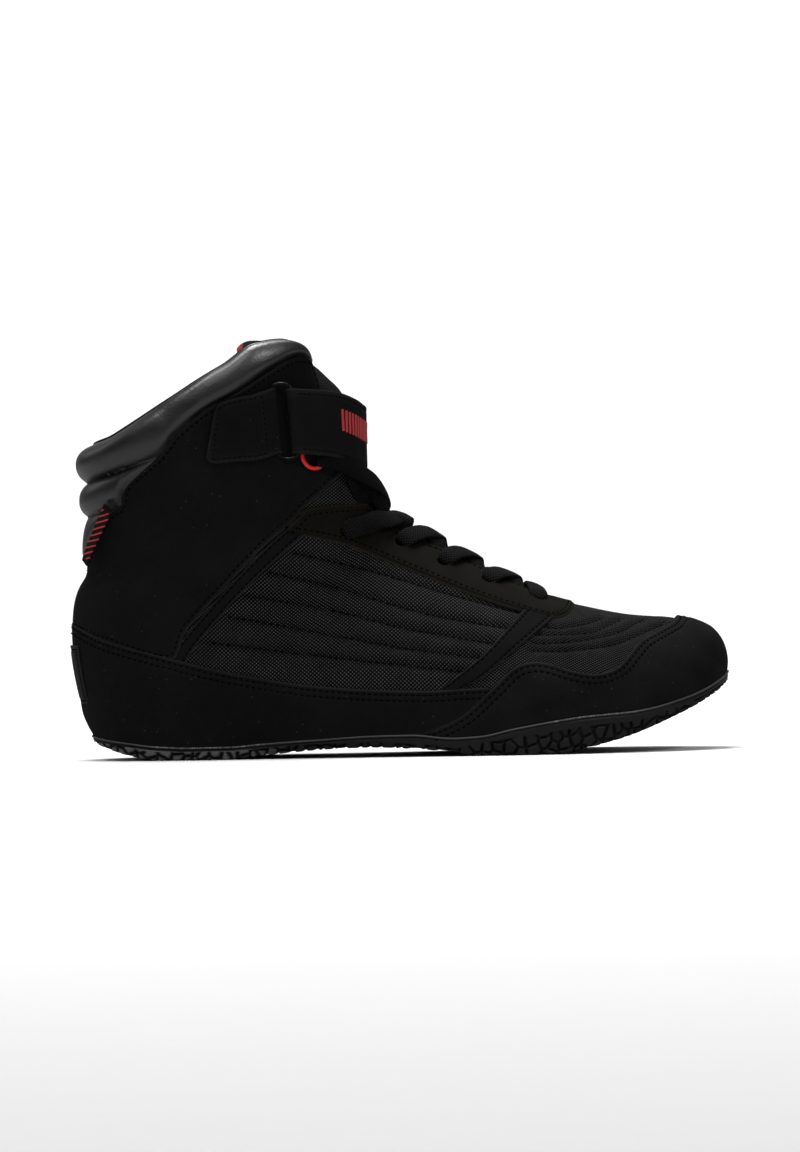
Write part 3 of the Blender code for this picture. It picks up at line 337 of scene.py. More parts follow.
    def head(self, crest: Array) -> Array:
        """Upper end of a foot column."""
        c = self.fold(crest)
        first, last = self.ridge_line[-1][0], self.ridge_line[0][0]
        on_ridge = self.ridge(first + (last - first) * np.clip(c, 0, 1))
        return np.where((c < 1)[..., None], on_ridge, self.ring((crest - 1) * math.pi))

    def _raw(self, crest: Array, t: Array) -> Array:
        """Foot columns by the meridian table alone."""
        u = self.u_of(np.mod(crest, 4))
        low, high, out = self.foot(u), self.head(np.mod(crest, 4)), self.outward(u)
        tall = (high - low)[..., 2:]
        first = low + UP * tall * self.meridian(3, u)[..., None] + out * self.meridian(4, u)[..., None]
        reach = self.meridian(6, u)
        slope = (self.ridge(high[..., 0] + 1)[..., 2] - self.ridge(high[..., 0] - 1)[..., 2]) / 2
        lean = slope * out[..., 0] * reach * np.clip((1 - self.fold(np.mod(crest, 4))) * 4, 0, 1)
        second = high + out * reach[..., None] + UP * (lean - self.meridian(5, u))[..., None]
        t = t[..., None]
        return (1 - t) ** 3 * low + 3 * t * (1 - t) ** 2 * first + 3 * t * t * (1 - t) * second + t**3 * high

    def shaft(self, angle: Array, v: Array) -> Array:
        """Form round the ankle, from the ring (v 0) to the top line (v 1)."""
        angle, v = np.broadcast_arrays(np.asarray(angle, float), np.asarray(v, float))
        return self.ring(angle) * (1 - v)[..., None] + self.top(angle) * v[..., None]

    def shaft_normal(self, angle: Array, v: Array) -> Array:
        """Outward direction of the form round the ankle."""
        across = self.shaft(angle + STEP, v) - self.shaft(angle - STEP, v)
        return unit(np.cross(self.shaft(angle, v + STEP) - self.shaft(angle, v - STEP), across))

    def shaft_angle(self, crest: Array, v: Array) -> Array:
        """Angle of a column round the ankle, kept clear of the throat."""
        edge = np.radians(column(self.front_edge, v))
        start = (self.throat_crest - 1) * math.pi
        angle = edge + ((self.fold(crest) - 1) * math.pi - start) * (math.pi - edge) / (math.pi - start)
        return np.where(crest > 2, 2 * math.pi - angle, angle)

    def _tabulate(self) -> None:
        """Fills the tables of places, directions and girths."""
        n, m = self.columns, self.rows
        crest = np.arange(n)[:, None] * 4.0 / n
        t = np.arange(m + 1)[None, :] / m
        crest, t = np.broadcast_arrays(crest, t)
        middle, reach, most = self.soften
        step = most * bump(self.fold(crest) - middle, reach)
        low = sum(self._raw(crest + step * k, t) * w for k, w in zip((-2, -1, 0, 1, 2), (1, 4, 6, 4, 1))) / 16
        place = np.concatenate([low, np.repeat(low[:, -1:], m, axis=1)], 1)
        first = int(round(self.throat_crest * n / 4))
        span = slice(first, n - first + 1)
        c, v = np.broadcast_arrays(np.arange(n)[span, None] * 4.0 / n, np.arange(1, m + 1)[None, :] / m)
        high = self.shaft(self.shaft_angle(c, v), v)
        miss = low[span, -1:] - self.shaft(self.shaft_angle(c[:, :1], 0 * v[:, :1]), 0 * v[:, :1])
        place[span, m + 1 :] = high + miss * (np.clip(1 - v / 0.35, 0, 1) ** 2)[..., None]
        shaft = place[span]
        share = 0.5 * bump(np.arange(2 * m + 1) / m - 1, 0.2)[None, 1:-1, None]
        for _ in range(160):
            shaft[:, 1:-1] += share * ((shaft[:, 2:] + shaft[:, :-2]) / 2 - shaft[:, 1:-1])
        place[span] = shaft
        along = (np.roll(place, -1, 0) - np.roll(place, 1, 0)) / 2
        along[span, m + 1 :] = np.gradient(place[span, m + 1 :], axis=0)
        rise = np.gradient(place, axis=1)
        rise[:, m] = place[:, m] - place[:, m - 1]
        rise[span] = np.gradient(place[span], axis=1)
        rise[:first, m + 1 :] = rise[:first, m : m + 1]
        rise[n - first + 1 :, m + 1 :] = rise[n - first + 1 :, m : m + 1]
        self.place, self.slope_c, self.slope_s = place, along * n / 4, rise * m
        self.facing = unit(np.cross(rise, along))
        steps = np.linalg.norm(np.diff(place, axis=1), axis=2)
        self.girths = np.concatenate([np.zeros((n, 1)), np.cumsum(steps, axis=1)], 1)[..., None]
        self._span = (first, n - first)

    def _read(self, table: Array, crest: Array, rise: Array) -> Array:
        """Table values between its entries."""
        crest, rise = np.broadcast_arrays(np.asarray(crest, float), np.asarray(rise, float))
        a = np.mod(crest, 4) * self.columns / 4
        b = np.clip(rise, 0, 2) * self.rows
        i = np.floor(a).astype(int) % self.columns
        j = np.minimum(np.floor(b).astype(int), 2 * self.rows - 1)
        f, g = (a - np.floor(a))[..., None], (b - j)[..., None]
        k = (i + 1) % self.columns
        low, high = (table[i, row] * (1 - f) + table[k, row] * f for row in (j, j + 1))
        return low * (1 - g) + high * g

    def at(self, crest: Array, rise: Array) -> Array:
        """Places on the form."""
        return self._read(self.place, crest, rise)

    def normal(self, crest: Array, rise: Array) -> Array:
        """Outward directions of the form."""
        return unit(self._read(self.facing, crest, rise))

    def girth(self, crest: Array, rise: Array) -> Array:
        """Distance up a column from the sole's edge."""
        return self._read(self.girths, crest, rise)[..., 0]

    def throat_end(self, crest: Array) -> Array:
        """Rise at which columns meet the throat's edge, or 1."""
        c = self.fold(crest)
        gap = column(self.throat, c)
        middle = np.where(c < 1, self.head(crest)[..., 1], self.ring_size[2])
        t = np.linspace(0.5, 1, 301)
        away = np.abs(self.at(np.asarray(crest)[..., None], t)[..., 1] - np.asarray(middle)[..., None])
        found = np.array([np.interp(-g, -row, t) for g, row in zip(np.atleast_1d(gap), np.atleast_2d(away))])
        open_here = (np.atleast_1d(c) > self.throat[0][0]) & (np.atleast_1d(c) < self.throat_crest - 1e-6)
        return np.where(open_here, found, 1)

    def cross(self, crest: Array, height: Callable[[Array], Array], start: float, stop: float) -> Array:
        """Rise at which each column first passes a line seen from the side.

        Args:
            crest: Columns.
            height: The line's height at each station.
            start: Rise to start from.
            stop: Rise to stop at.
        Returns:
            The rises, or nan where a column has no such place.
        """
        s = np.linspace(start, stop, 601)
        p = self.at(crest[:, None], s[None, :])
        f = p[..., 2] - height(p[..., 0])
        hit = (f[:, :-1] <= 0) & (f[:, 1:] > 0)
        i = hit.argmax(1)
        k = np.arange(len(crest))
        share = f[k, i] / np.where(hit.any(1), f[k, i] - f[k, i + 1], 1)
        return np.where(hit.any(1), s[i] + share * (s[1] - s[0]), np.nan)

    def _tree(self, inner: bool) -> tuple[kdtree.KDTree, Array]:
        """Search tree of one side of the form, seen from the side."""
        n, m = self.columns, self.rows
        i = np.arange(8, n // 2 - 4, 3)
        if inner:
            i = n - i
        first, last = self._span
        spots = [(k, j) for k in i for j in range(0, (2 * m if first <= k <= last else m) + 1, 3)]
        return search_tree([self.place[k, j, ::2] for k, j in spots]), np.array(spots)

    def locate(self, line: Array, inner: bool = False) -> tuple[Array, Array]:
        """Crest and rise of points seen from the side.

        Args:
            line: Stations and heights.
            inner: Whether they lie on the inner side.
        Returns:
            Crests and rises.
        """
        tree, spots = self._trees[int(inner)]
        near = np.array([spots[tree.find((x, z, 0))[1]] for x, z in line], float)
        c, s = near[:, 0] * 4 / self.columns, near[:, 1] / self.rows
        for _ in range(4):
            mx, mz = (np.asarray(line) - self.at(c, s)[:, ::2]).T
            (cx, cz), (sx, sz) = (self._read(slope, c, s)[:, ::2].T for slope in (self.slope_c, self.slope_s))
            det = cx * sz - cz * sx
            det = np.where(np.abs(det) < 1, np.sign(det + 1e-12), det)
            c = c + np.clip((mx * sz - mz * sx) / det, -0.02, 0.02)
            s = np.clip(s + np.clip((cx * mz - cz * mx) / det, -0.04, 0.04), 0, 2)
        return c, s

    def shaft_point(
        self, angle_deg: float, height: float, off: float, lean: float = 0.3,
    ) -> tuple[Array, Array]:
        """Point off the ankle and its outward direction.

        Args:
            angle_deg: Angle from the front towards the outer side.
            height: Height above the floor.
            off: Distance from the form.
            lean: Share of the form's slope that the direction keeps.
        Returns:
            Place and direction.
        """
        angle = math.radians(angle_deg)
        v = np.linspace(-0.2, 1.2, 281)
        v = float(np.interp(height, self.shaft(angle, v)[:, 2], v))
        n = unit(self.shaft_normal(angle, v) * (1, 1, lean))
        return self.shaft(angle, v) + n * off, n


# Meshes


def distance_to(points: Array, lines: Sequence[Array]) -> Array:
    """Distance from each point to the nearest point of some lines."""
    tree = search_tree(np.concatenate([evenly(line, 0.6) for line in lines]))
    return np.array([tree.find(p)[2] for p in points.reshape(-1, 3)]).reshape(points.shape[:-1])


def quads(columns: int, rows: int, loop: bool = False, tube: bool = False) -> Faces:
    """Faces of a grid whose points are listed column by column.

    Args:
        columns: Number of columns.
        rows: Points in each column.
        loop: Whether the last column joins the first.
        tube: Whether each column's last point joins its first.
    Returns:
        The faces.
    """
    out = []
    for i in range(columns if loop else columns - 1):
        a, b = i * rows, (i + 1) % columns * rows
        for j in range(rows if tube else rows - 1):
            k = (j + 1) % rows
            out.append((a + j, a + k, b + k, b + j))
    return out


def capped_tube(rings: Array) -> Shell:
    """Skin round a row of rings, with its two ends closed."""
    n, m = rings.shape[:2]
    ends = [tuple(range(m)), tuple(range(n * m - 1, (n - 1) * m - 1, -1))]
    return rings.reshape(-1, 3), quads(n, m, tube=True) + ends


def closed_sheet(upper: Array, lower: Array) -> Shell:
    """Closed sheet between an outer and an inner grid of the same shape."""
    n, m = upper.shape[:2]
    count = n * m
    faces = quads(n, m)
    faces += [tuple(count + k for k in reversed(f)) for f in faces]
    for i in range(n - 1):
        a, b = i * m, (i + 1) * m
        faces.append((a, b, count + b, count + a))
        faces.append((a + m - 1, count + a + m - 1, count + b + m - 1, b + m - 1))
    for j in range(m - 1):
        a = (n - 1) * m + j
        faces.append((j, count + j, count + j + 1, j + 1))
        faces.append((a, a + 1, count + a + 1, count + a))
    return np.concatenate([upper.reshape(-1, 3), lower.reshape(-1, 3)]), faces


def soft_section(width: float, thick: float, dip: float = 0.0, count: int = 9, row: float = 0.0) -> Array:
    """Closed outline of a flat band with round edges.

    Args:
        width: Width of the band.
        thick: Its thickness.
        dip: How far its middle is thinner than its edges.
        count: Points along each flat face.
        row: How far inside the edges a sewn groove runs, or 0 for none.
    Returns:
        Pairs of distance across and distance out.
    """
    r = thick / 2
    half = width / 2 - r
    flat = np.linspace(-1, 1, count)
    groove = 0.0
    if row:
        at = width / 2 - row
        flat = flat[np.abs(np.abs(flat) * half - at) > 0.9]
        near = [side * (at + d) / half for side in (-1, 1) for d in (-0.6, -0.3, 0, 0.3, 0.6)]
        flat = np.sort(np.append(flat, near))
        groove = 0.3 * bump(np.abs(flat) * half - at, 0.3)
    face = np.stack([flat * half, r - dip * (1 - flat**2) - groove], -1)
    w = np.linspace(math.pi / 2, -math.pi / 2, 5)[1:-1]
    end = np.stack([half + r * np.cos(w), r * np.sin(w)], -1)
    return np.concatenate([face, end, -face, -end])


def wire(path: Array, radius: float, around: int = 12) -> Shell:
    """Closed round wire through points."""
    tangent = unit(np.roll(path, -1, 0) - np.roll(path, 1, 0))
    side = unit(np.cross(tangent, path - path.mean(0)))
    out = np.cross(side, tangent)
    w = 2 * math.pi * np.arange(around)[:, None] / around
    rings = path[:, None] + radius * (side[:, None] * np.cos(w) + out[:, None] * np.sin(w))
    return rings.reshape(-1, 3), quads(len(path), around, True, True)


def turn_to(axis: Array) -> Matrix:
    """Rotation that takes Z to an axis."""
    return Vector(axis).to_track_quat("Z", "Y").to_matrix().to_4x4()


def new_object(name: str, data: bpy.types.ID) -> Object:
    """Adds an object at the origin to the scene."""
    obj = bpy.data.objects.new(name, data)
    bpy.context.scene.collection.objects.link(obj)
    return obj


def apply_modifier(obj: Object, modifier: bpy.types.Modifier) -> None:
    """Makes the modified shape the object's plain mesh."""
    graph = bpy.context.evaluated_depsgraph_get()
    made = bpy.data.meshes.new_from_object(obj.evaluated_get(graph), depsgraph=graph)
    obj.modifiers.remove(modifier)
    obj.data = made


def make_piece(
    name: str, shell: Shell, finishes: Sequence[Material], uv: Array | None = None,
    pick: Sequence[int] | None = None, sharp: float = 50.0, tint: Array | None = None,
) -> Object:
    """Makes a mesh object at the origin of points in millimetres.

    Args:
        name: Name of the piece.
        shell: Places in the drawing's frame, and the point numbers of each face.
        finishes: Materials of the piece.
        uv: A pair of pattern coordinates for each point, in millimetres.
        pick: Material number of each face.
        sharp: Edges sharper than this angle stay crisp.
        tint: How much lighter (above 0) or darker (below 0) the finish is at each point.
    Returns:
        The object.
    """
    points, faces = shell
    mesh = bpy.data.meshes.new(name)
    mesh.from_pydata(((np.asarray(points, float) + CENTRE) * MM).tolist(), [], faces)
    for finish in finishes:
        mesh.materials.append(finish)
    if pick is not None:
        mesh.polygons.foreach_set("material_index", np.asarray(pick, np.int32))
    if uv is not None:
        layer = mesh.uv_layers.new(name="cloth")
        index = np.empty(len(mesh.loops), np.int32)
        mesh.loops.foreach_get("vertex_index", index)
        layer.data.foreach_set("uv", (np.asarray(uv)[index] * MM).ravel().astype(np.float32))
    if tint is not None:
        marks = mesh.attributes.new("tint", "FLOAT", "POINT")
        marks.data.foreach_set("value", np.asarray(tint, np.float32).ravel())
    bm = bmesh.new()
    bm.from_mesh(mesh)
    bmesh.ops.recalc_face_normals(bm, faces=bm.faces)
    bm.to_mesh(mesh)
    bm.free()
    mesh.shade_smooth()
    mesh.set_sharp_from_angle(angle=math.radians(sharp))
    return new_object(name, mesh)


def hold(obj: Object, slot: str, *nodes: str, fill: float | None = None) -> Object:
    """Fixes a piece to the shoe.

    Args:
        obj: The piece.
        slot: The record's material slot; not used.
        nodes: Solids that it stands for.
        fill: How tight it is, if it is padded; not used.
    Returns:
        The piece.
    """
    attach(obj, "root")
    if nodes:
        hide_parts(*nodes)
    log.info("%s: %d faces", obj.name, len(obj.data.polygons))
    return obj


# Finishes


def colour(code: str) -> tuple[float, float, float, float]:
    """Linear colour of an sRGB hex value."""
    parts = [int(code[i : i + 2], 16) / 255 for i in (1, 3, 5)]
    return (*(p / 12.92 if p <= 0.04045 else ((p + 0.055) / 1.055) ** 2.4 for p in parts), 1.0)


def add_node(
    tree: Tree, kind: str, settings: dict | None = None, inputs: dict | None = None,
) -> bpy.types.Node:
    """Adds a node with its settings, values and links.

    Args:
        tree: Node tree to add to.
        kind: Blender's name of the node's type.
        settings: Properties of the node.
        inputs: Input name or number to a value, or to an output socket to link from.
    Returns:
        The node.
    """
    made = tree.nodes.new(kind)
    for key, value in (settings or {}).items():
        setattr(made, key, value)
    for key, value in (inputs or {}).items():
        if isinstance(value, Socket):
            tree.links.new(value, made.inputs[key])
        else:
            made.inputs[key].default_value = value
    return made


def sums(tree: Tree, operation: str, a: Socket, b: Socket | float = 0.5) -> Socket:
    """One sum of two sockets or numbers."""
    return add_node(tree, "ShaderNodeMath", {"operation": operation}, {0: a, 1: b}).outputs[0]


def remap(
    tree: Tree, value: Socket, low: float, high: float, start: float = 0.0, stop: float = 1.0,
) -> Socket:
    """Value from low to high made start to stop, and held beyond them."""
    inputs = {0: value, 1: low, 2: high, 3: start, 4: stop}
    return add_node(tree, "ShaderNodeMapRange", None, inputs).outputs[0]


def texture(tree: Tree, kind: str, size_mm: float, settings: dict | None = None, **inputs: float) -> Socket:
    """Blender's texture of some kind, at a real size in the piece's own space."""
    space = add_node(tree, "ShaderNodeTexCoord").outputs["Object"]
    inputs |= {"Vector": space, "Scale": 1 / (size_mm * MM)}
    return add_node(tree, f"ShaderNodeTex{kind}", settings, inputs).outputs[0]


def clouds(tree: Tree, size_mm: float, detail: float) -> Socket:
    """Cloudy variation of a given size."""
    return texture(tree, "Noise", size_mm, Detail=detail, Roughness=0.6)


class Pattern(Enum):
    """What a finish shows close up."""

    NAP = "nap"
    GRAIN = "grain"
    MESH = "mesh"
    MOULDED = "moulded"
    SMOOTH = "smooth"
    HATCH = "hatch"


@dataclass(frozen=True)
class Finish:
    """A material: its two tones, its gloss and its pattern at real size."""

    name: str
    dark: str
    light: str
    rough: float
    pattern: Pattern
    pitch_mm: float
    depth_mm: float
    specular: float
    lint_mm: float = 0.0
    # how far the roughness wanders, and over what distance
    wander: float = 0.07
    wander_mm: float = 14.0

    def material(self) -> Material:
        """Builds the material's nodes."""
        made = bpy.data.materials.new(self.name)
        made.use_nodes = True
        tree = made.node_tree
        shader = tree.nodes["Principled BSDF"]
        shader.inputs["Specular IOR Level"].default_value = self.specular
        height, share = self._relief(tree)
        tones = {0: share, 6: colour(self.dark), 7: colour(self.light)}
        tone = add_node(tree, "ShaderNodeMix", {"data_type": "RGBA"}, tones).outputs[2]
        mark = add_node(tree, "ShaderNodeAttribute", {"attribute_name": "tint"}).outputs["Fac"]
        gain = sums(tree, "ADD", mark, 1)
        if self.lint_mm:
            fleck = remap(tree, texture(tree, "Voronoi", self.lint_mm), 0.05, 0.09, 4.5, 0)
            gain = sums(tree, "ADD", gain, fleck)
        shade = add_node(tree, "ShaderNodeVectorMath", {"operation": "SCALE"}, {0: tone, "Scale": gain})
        smooth, dull = max(self.rough - self.wander, 0.02), min(self.rough + self.wander, 1)
        rough = remap(tree, clouds(tree, self.wander_mm, 3), 0.3, 0.7, smooth, dull)
        lift = {"Strength": 1, "Distance": self.depth_mm * MM, "Height": height}
        normal = add_node(tree, "ShaderNodeBump", None, lift).outputs[0]
        for key, socket in (("Base Color", shade.outputs[0]), ("Roughness", rough), ("Normal", normal)):
            tree.links.new(socket, shader.inputs[key])
        return made

    def _relief(self, tree: Tree) -> tuple[Socket, Socket]:
        """Height of the pattern and share of its lighter tone."""
        if self.pattern in (Pattern.MESH, Pattern.HATCH):
            return self._woven(tree)
        fine = clouds(tree, self.pitch_mm, 2)
        if self.pattern is Pattern.GRAIN:
            cells = texture(tree, "Voronoi", self.pitch_mm, {"feature": "SMOOTH_F1"}, Smoothness=0.4)
            fine = sums(tree, "ADD", sums(tree, "MULTIPLY", cells, 0.7), sums(tree, "MULTIPLY", fine, 0.3))
        broad = clouds(tree, 22, 4)
        mixed = sums(tree, "ADD", sums(tree, "MULTIPLY", fine, 0.35), sums(tree, "MULTIPLY", broad, 0.6))
        return (broad if self.pattern is Pattern.SMOOTH else fine), mixed

    def _woven(self, tree: Tree) -> tuple[Socket, Socket]:
        """Threads over and under, or plain slanted lines."""
        space = add_node(tree, "ShaderNodeUVMap", {"uv_map": "cloth"}).outputs[0]
        u, v = add_node(tree, "ShaderNodeSeparateXYZ", None, {0: space}).outputs[:2]
        turn = 2 * math.pi / (self.pitch_mm * MM)
        if self.pattern is Pattern.HATCH:
            over = sums(tree, "SINE", sums(tree, "MULTIPLY", sums(tree, "ADD", u, v), turn))
            return remap(tree, over, -1, 1), remap(tree, over, 0.55, 0.8)
        both_ways = [sums(tree, "SINE", sums(tree, "MULTIPLY", way, turn)) for way in (u, v)]
        over = sums(tree, "MULTIPLY", *both_ways)
        height = remap(tree, over, -1, 1)
        wear_and_highlight = sums(tree, "ADD", clouds(tree, 9, 3), 0.45)
        return height, sums(tree, "MULTIPLY", remap(tree, height, 0.52, 1), wear_and_highlight)


@dataclass
class Finishes:
    """All the shoe's materials."""

    # Buffed nubuck leather: short nap that eats the light, with cloudy handling marks
    nubuck: Finish = Finish("nubuck", "#040404", "#141414", 0.9, Pattern.NAP, 0.55, 0.10, 0.07, lint_mm=4.5)
    # The same leather dyed a warmer grey on the lace facing
    facing: Finish = Finish("facing_nubuck", "#080806", "#13110d", 0.88, Pattern.NAP, 0.5, 0.08, 0.07)
    # Smooth finished cowhide over foam: fine pores and a soft gloss
    leather: Finish = Finish("smooth_leather", "#030303", "#0a0a0a", 0.39, Pattern.GRAIN, 1.1, 0.08, 1)
    # Open plain-weave polyester: a thread shows every 1.2 mm, aslant
    mesh: Finish = Finish("polyester_mesh", "#020202", "#3e3e3e", 0.85, Pattern.MESH, 1.75, 0.35, 0.08)
    # Knitted polyester lining
    lining: Finish = Finish("knit_lining", "#0a0a0b", "#1d1d1f", 0.92, Pattern.MESH, 1.6, 0.15, 0.06)
    # Red spacer mesh inside the tongue
    red_mesh: Finish = Finish("red_spacer_mesh", "#5e0f13", "#c8363c", 0.8, Pattern.MESH, 1.5, 0.25, 0.2)
    # Warp-knit tongue cover
    tongue: Finish = Finish("tongue_knit", "#0b0b0c", "#2a2a2c", 0.88, Pattern.MESH, 1.2, 0.2, 0.08)
    # Moulded soft plastic of the heel patch
    patch: Finish = Finish("soft_plastic", "#070707", "#0e0e0e", 0.6, Pattern.MOULDED, 0.9, 0.04, 0.12)
    # Moulded carbon rubber, satin from the mould
    rubber: Finish = Finish("moulded_rubber", "#0f0f0f", "#1f1f1f", 0.5, Pattern.MOULDED, 0.7, 0.05, 0.2)
    # Brushed nylon webbing with a close face
    webbing: Finish = Finish("brushed_webbing", "#060606", "#141414", 0.85, Pattern.NAP, 0.7, 0.08, 0.08)
    # Flat woven polyester lace; the weave is drawn at 1.5 mm so that it shows
    lace: Finish = Finish("woven_lace", "#050505", "#1f1f1f", 0.85, Pattern.MESH, 1.5, 0.30, 0.08)
    # Bonded polyester sewing thread
    thread: Finish = Finish("sewing_thread", "#020202", "#060606", 0.9, Pattern.NAP, 0.4, 0.05, 0.03)
    # The same thread sunk in the quilting, where no light reaches it
    dark_thread: Finish = Finish("sunk_thread", "#020202", "#070707", 0.9, Pattern.NAP, 0.4, 0.05, 0.04)
    # Black-coated steel wire
    wire: Finish = Finish("coated_steel_wire", "#030303", "#070707", 0.25, Pattern.SMOOTH, 3, 0.01, 0.2)
    # Glossy moulded nylon
    red_gloss: Finish = Finish("red_nylon", "#a80f18", "#c81c24", 0.22, Pattern.SMOOTH, 3, 0.01, 0.6)
    # Flexible red transfer print
    red_print: Finish = Finish("red_transfer", "#8e2226", "#b0383c", 0.6, Pattern.NAP, 0.8, 0.04, 0.3)
    # Woven damask ribbon with plain slanted lines
    ribbon: Finish = Finish("woven_ribbon", "#060606", "#a02830", 0.75, Pattern.HATCH, 3.4, 0.12, 0.2)
    # Foam footbed under a brushed textile
    footbed: Finish = Finish("footbed_textile", "#0e0e0f", "#202022", 0.92, Pattern.MESH, 1.4, 0.12, 0.12)

    def build(self) -> Looks:
        """Makes every material once, by field name."""
        return {key: finish.material() for key, finish in vars(self).items()}


# Repeats


class Shape(Enum):
    """What is repeated."""

    STITCH = "GeometryNodeMeshUVSphere"
    BLOCK = "GeometryNodeMeshCylinder"
    BAR = "GeometryNodeMeshCube"


@dataclass
class Repeat:
    """A small shape set at many points, each with its own direction and size."""

    name: str
    shape: Shape
    points: list[Array] = field(default_factory=list)
    along: list[Array] = field(default_factory=list)
    facing: list[Array] = field(default_factory=list)
    size: list[Array] = field(default_factory=list)

    def add(self, points: Array, along: Array, facing: Array, size: Sequence[float]) -> None:
        """Adds some points with their directions and sizes in millimetres."""
        self.points.append(points)
        self.along.append(along)
        self.facing.append(facing)
        self.size.append(np.broadcast_to(np.asarray(size, float), (len(points), 3)))

    def run(
        self, line: Array, facing: Array, pitch: float = 2.7, size: Sequence[float] = (0.95, 0.42, 0.3),
    ) -> None:
        """Adds stitches along a line.

        Args:
            line: Points of the line.
            facing: Outward direction at each point.
            pitch: Distance from stitch to stitch.
            size: Half length, half width and half height of a stitch.
        """
        both = evenly(np.concatenate([line, facing], 1), pitch / 4)
        run = lengths(both[:, :3])
        rows = read_line(both, run, np.arange(pitch / 2, run[-1], pitch))
        if len(rows) > 1:
            self.add(rows[:, :3], unit(np.gradient(rows[:, :3], axis=0)), unit(rows[:, 3:]), size)

    def _tree(self, finish: Material) -> tuple[Tree, str]:
        """Node tree that sets the shape on points, and its detail input."""
        tree = bpy.data.node_groups.new(f"{self.name}_nodes", "GeometryNodeTree")
        tree.interface.new_socket("Geometry", in_out="INPUT", socket_type="NodeSocketGeometry")
        sides = tree.interface.new_socket("Sides", in_out="INPUT", socket_type="NodeSocketInt")
        tree.interface.new_socket("Geometry", in_out="OUTPUT", socket_type="NodeSocketGeometry")
        source = add_node(tree, "NodeGroupInput").outputs
        kind = "GeometryNodeInputNamedAttribute"
        along, facing, size = (
            add_node(tree, kind, {"data_type": "FLOAT_VECTOR"}, {"Name": key}).outputs[0]
            for key in ("along", "facing", "size")
        )
        align = "FunctionNodeAlignRotationToVector"
        turned = add_node(tree, align, {"axis": "X"}, {"Vector": along}).outputs[0]
        upright = {"Rotation": turned, "Vector": facing}
        upright = add_node(tree, align, {"axis": "Z", "pivot_axis": "X"}, upright).outputs[0]
        form = {
            Shape.STITCH: {"Segments": source["Sides"], "Rings": 4},
            Shape.BLOCK: {"Vertices": source["Sides"], "Radius": 1, "Depth": 2},
            Shape.BAR: {"Size": (2, 2, 2)},
        }
        shape = add_node(tree, self.shape.value, None, form[self.shape]).outputs[0]
        placed = {"Points": source["Geometry"], "Instance": shape, "Rotation": upright, "Scale": size}
        made = add_node(tree, "GeometryNodeInstanceOnPoints", None, placed).outputs[0]
        made = add_node(tree, "GeometryNodeRealizeInstances", None, {0: made}).outputs[0]
        made = add_node(tree, "GeometryNodeSetMaterial", None, {0: made, "Material": finish}).outputs[0]
        add_node(tree, "NodeGroupOutput", None, {0: made})
        return tree, sides.identifier

    def build(self, finish: Material, sides: int, smooth: bool) -> Object:
        """Makes the repeats a plain mesh.

        Args:
            finish: Material of the shape.
            sides: Sides of the shape.
            smooth: Whether it is shaded smooth.
        Returns:
            The object.
        """
        source = bpy.data.meshes.new(f"{self.name}_points")
        source.from_pydata(((np.concatenate(self.points) + CENTRE) * MM).tolist(), [], [])
        for key, scale in (("along", 1), ("facing", 1), ("size", MM)):
            values = np.concatenate(getattr(self, key)) * scale
            layer = source.attributes.new(key, "FLOAT_VECTOR", "POINT")
            layer.data.foreach_set("vector", values.ravel().astype(np.float32))
        obj = new_object(self.name, source)
        modifier = obj.modifiers.new("repeat", "NODES")
        modifier.node_group, identifier = self._tree(finish)
        modifier[identifier] = sides
        apply_modifier(obj, modifier)
        obj.data.name = self.name
        for polygon in obj.data.polygons:
            polygon.use_smooth = smooth
        return obj


# Upper


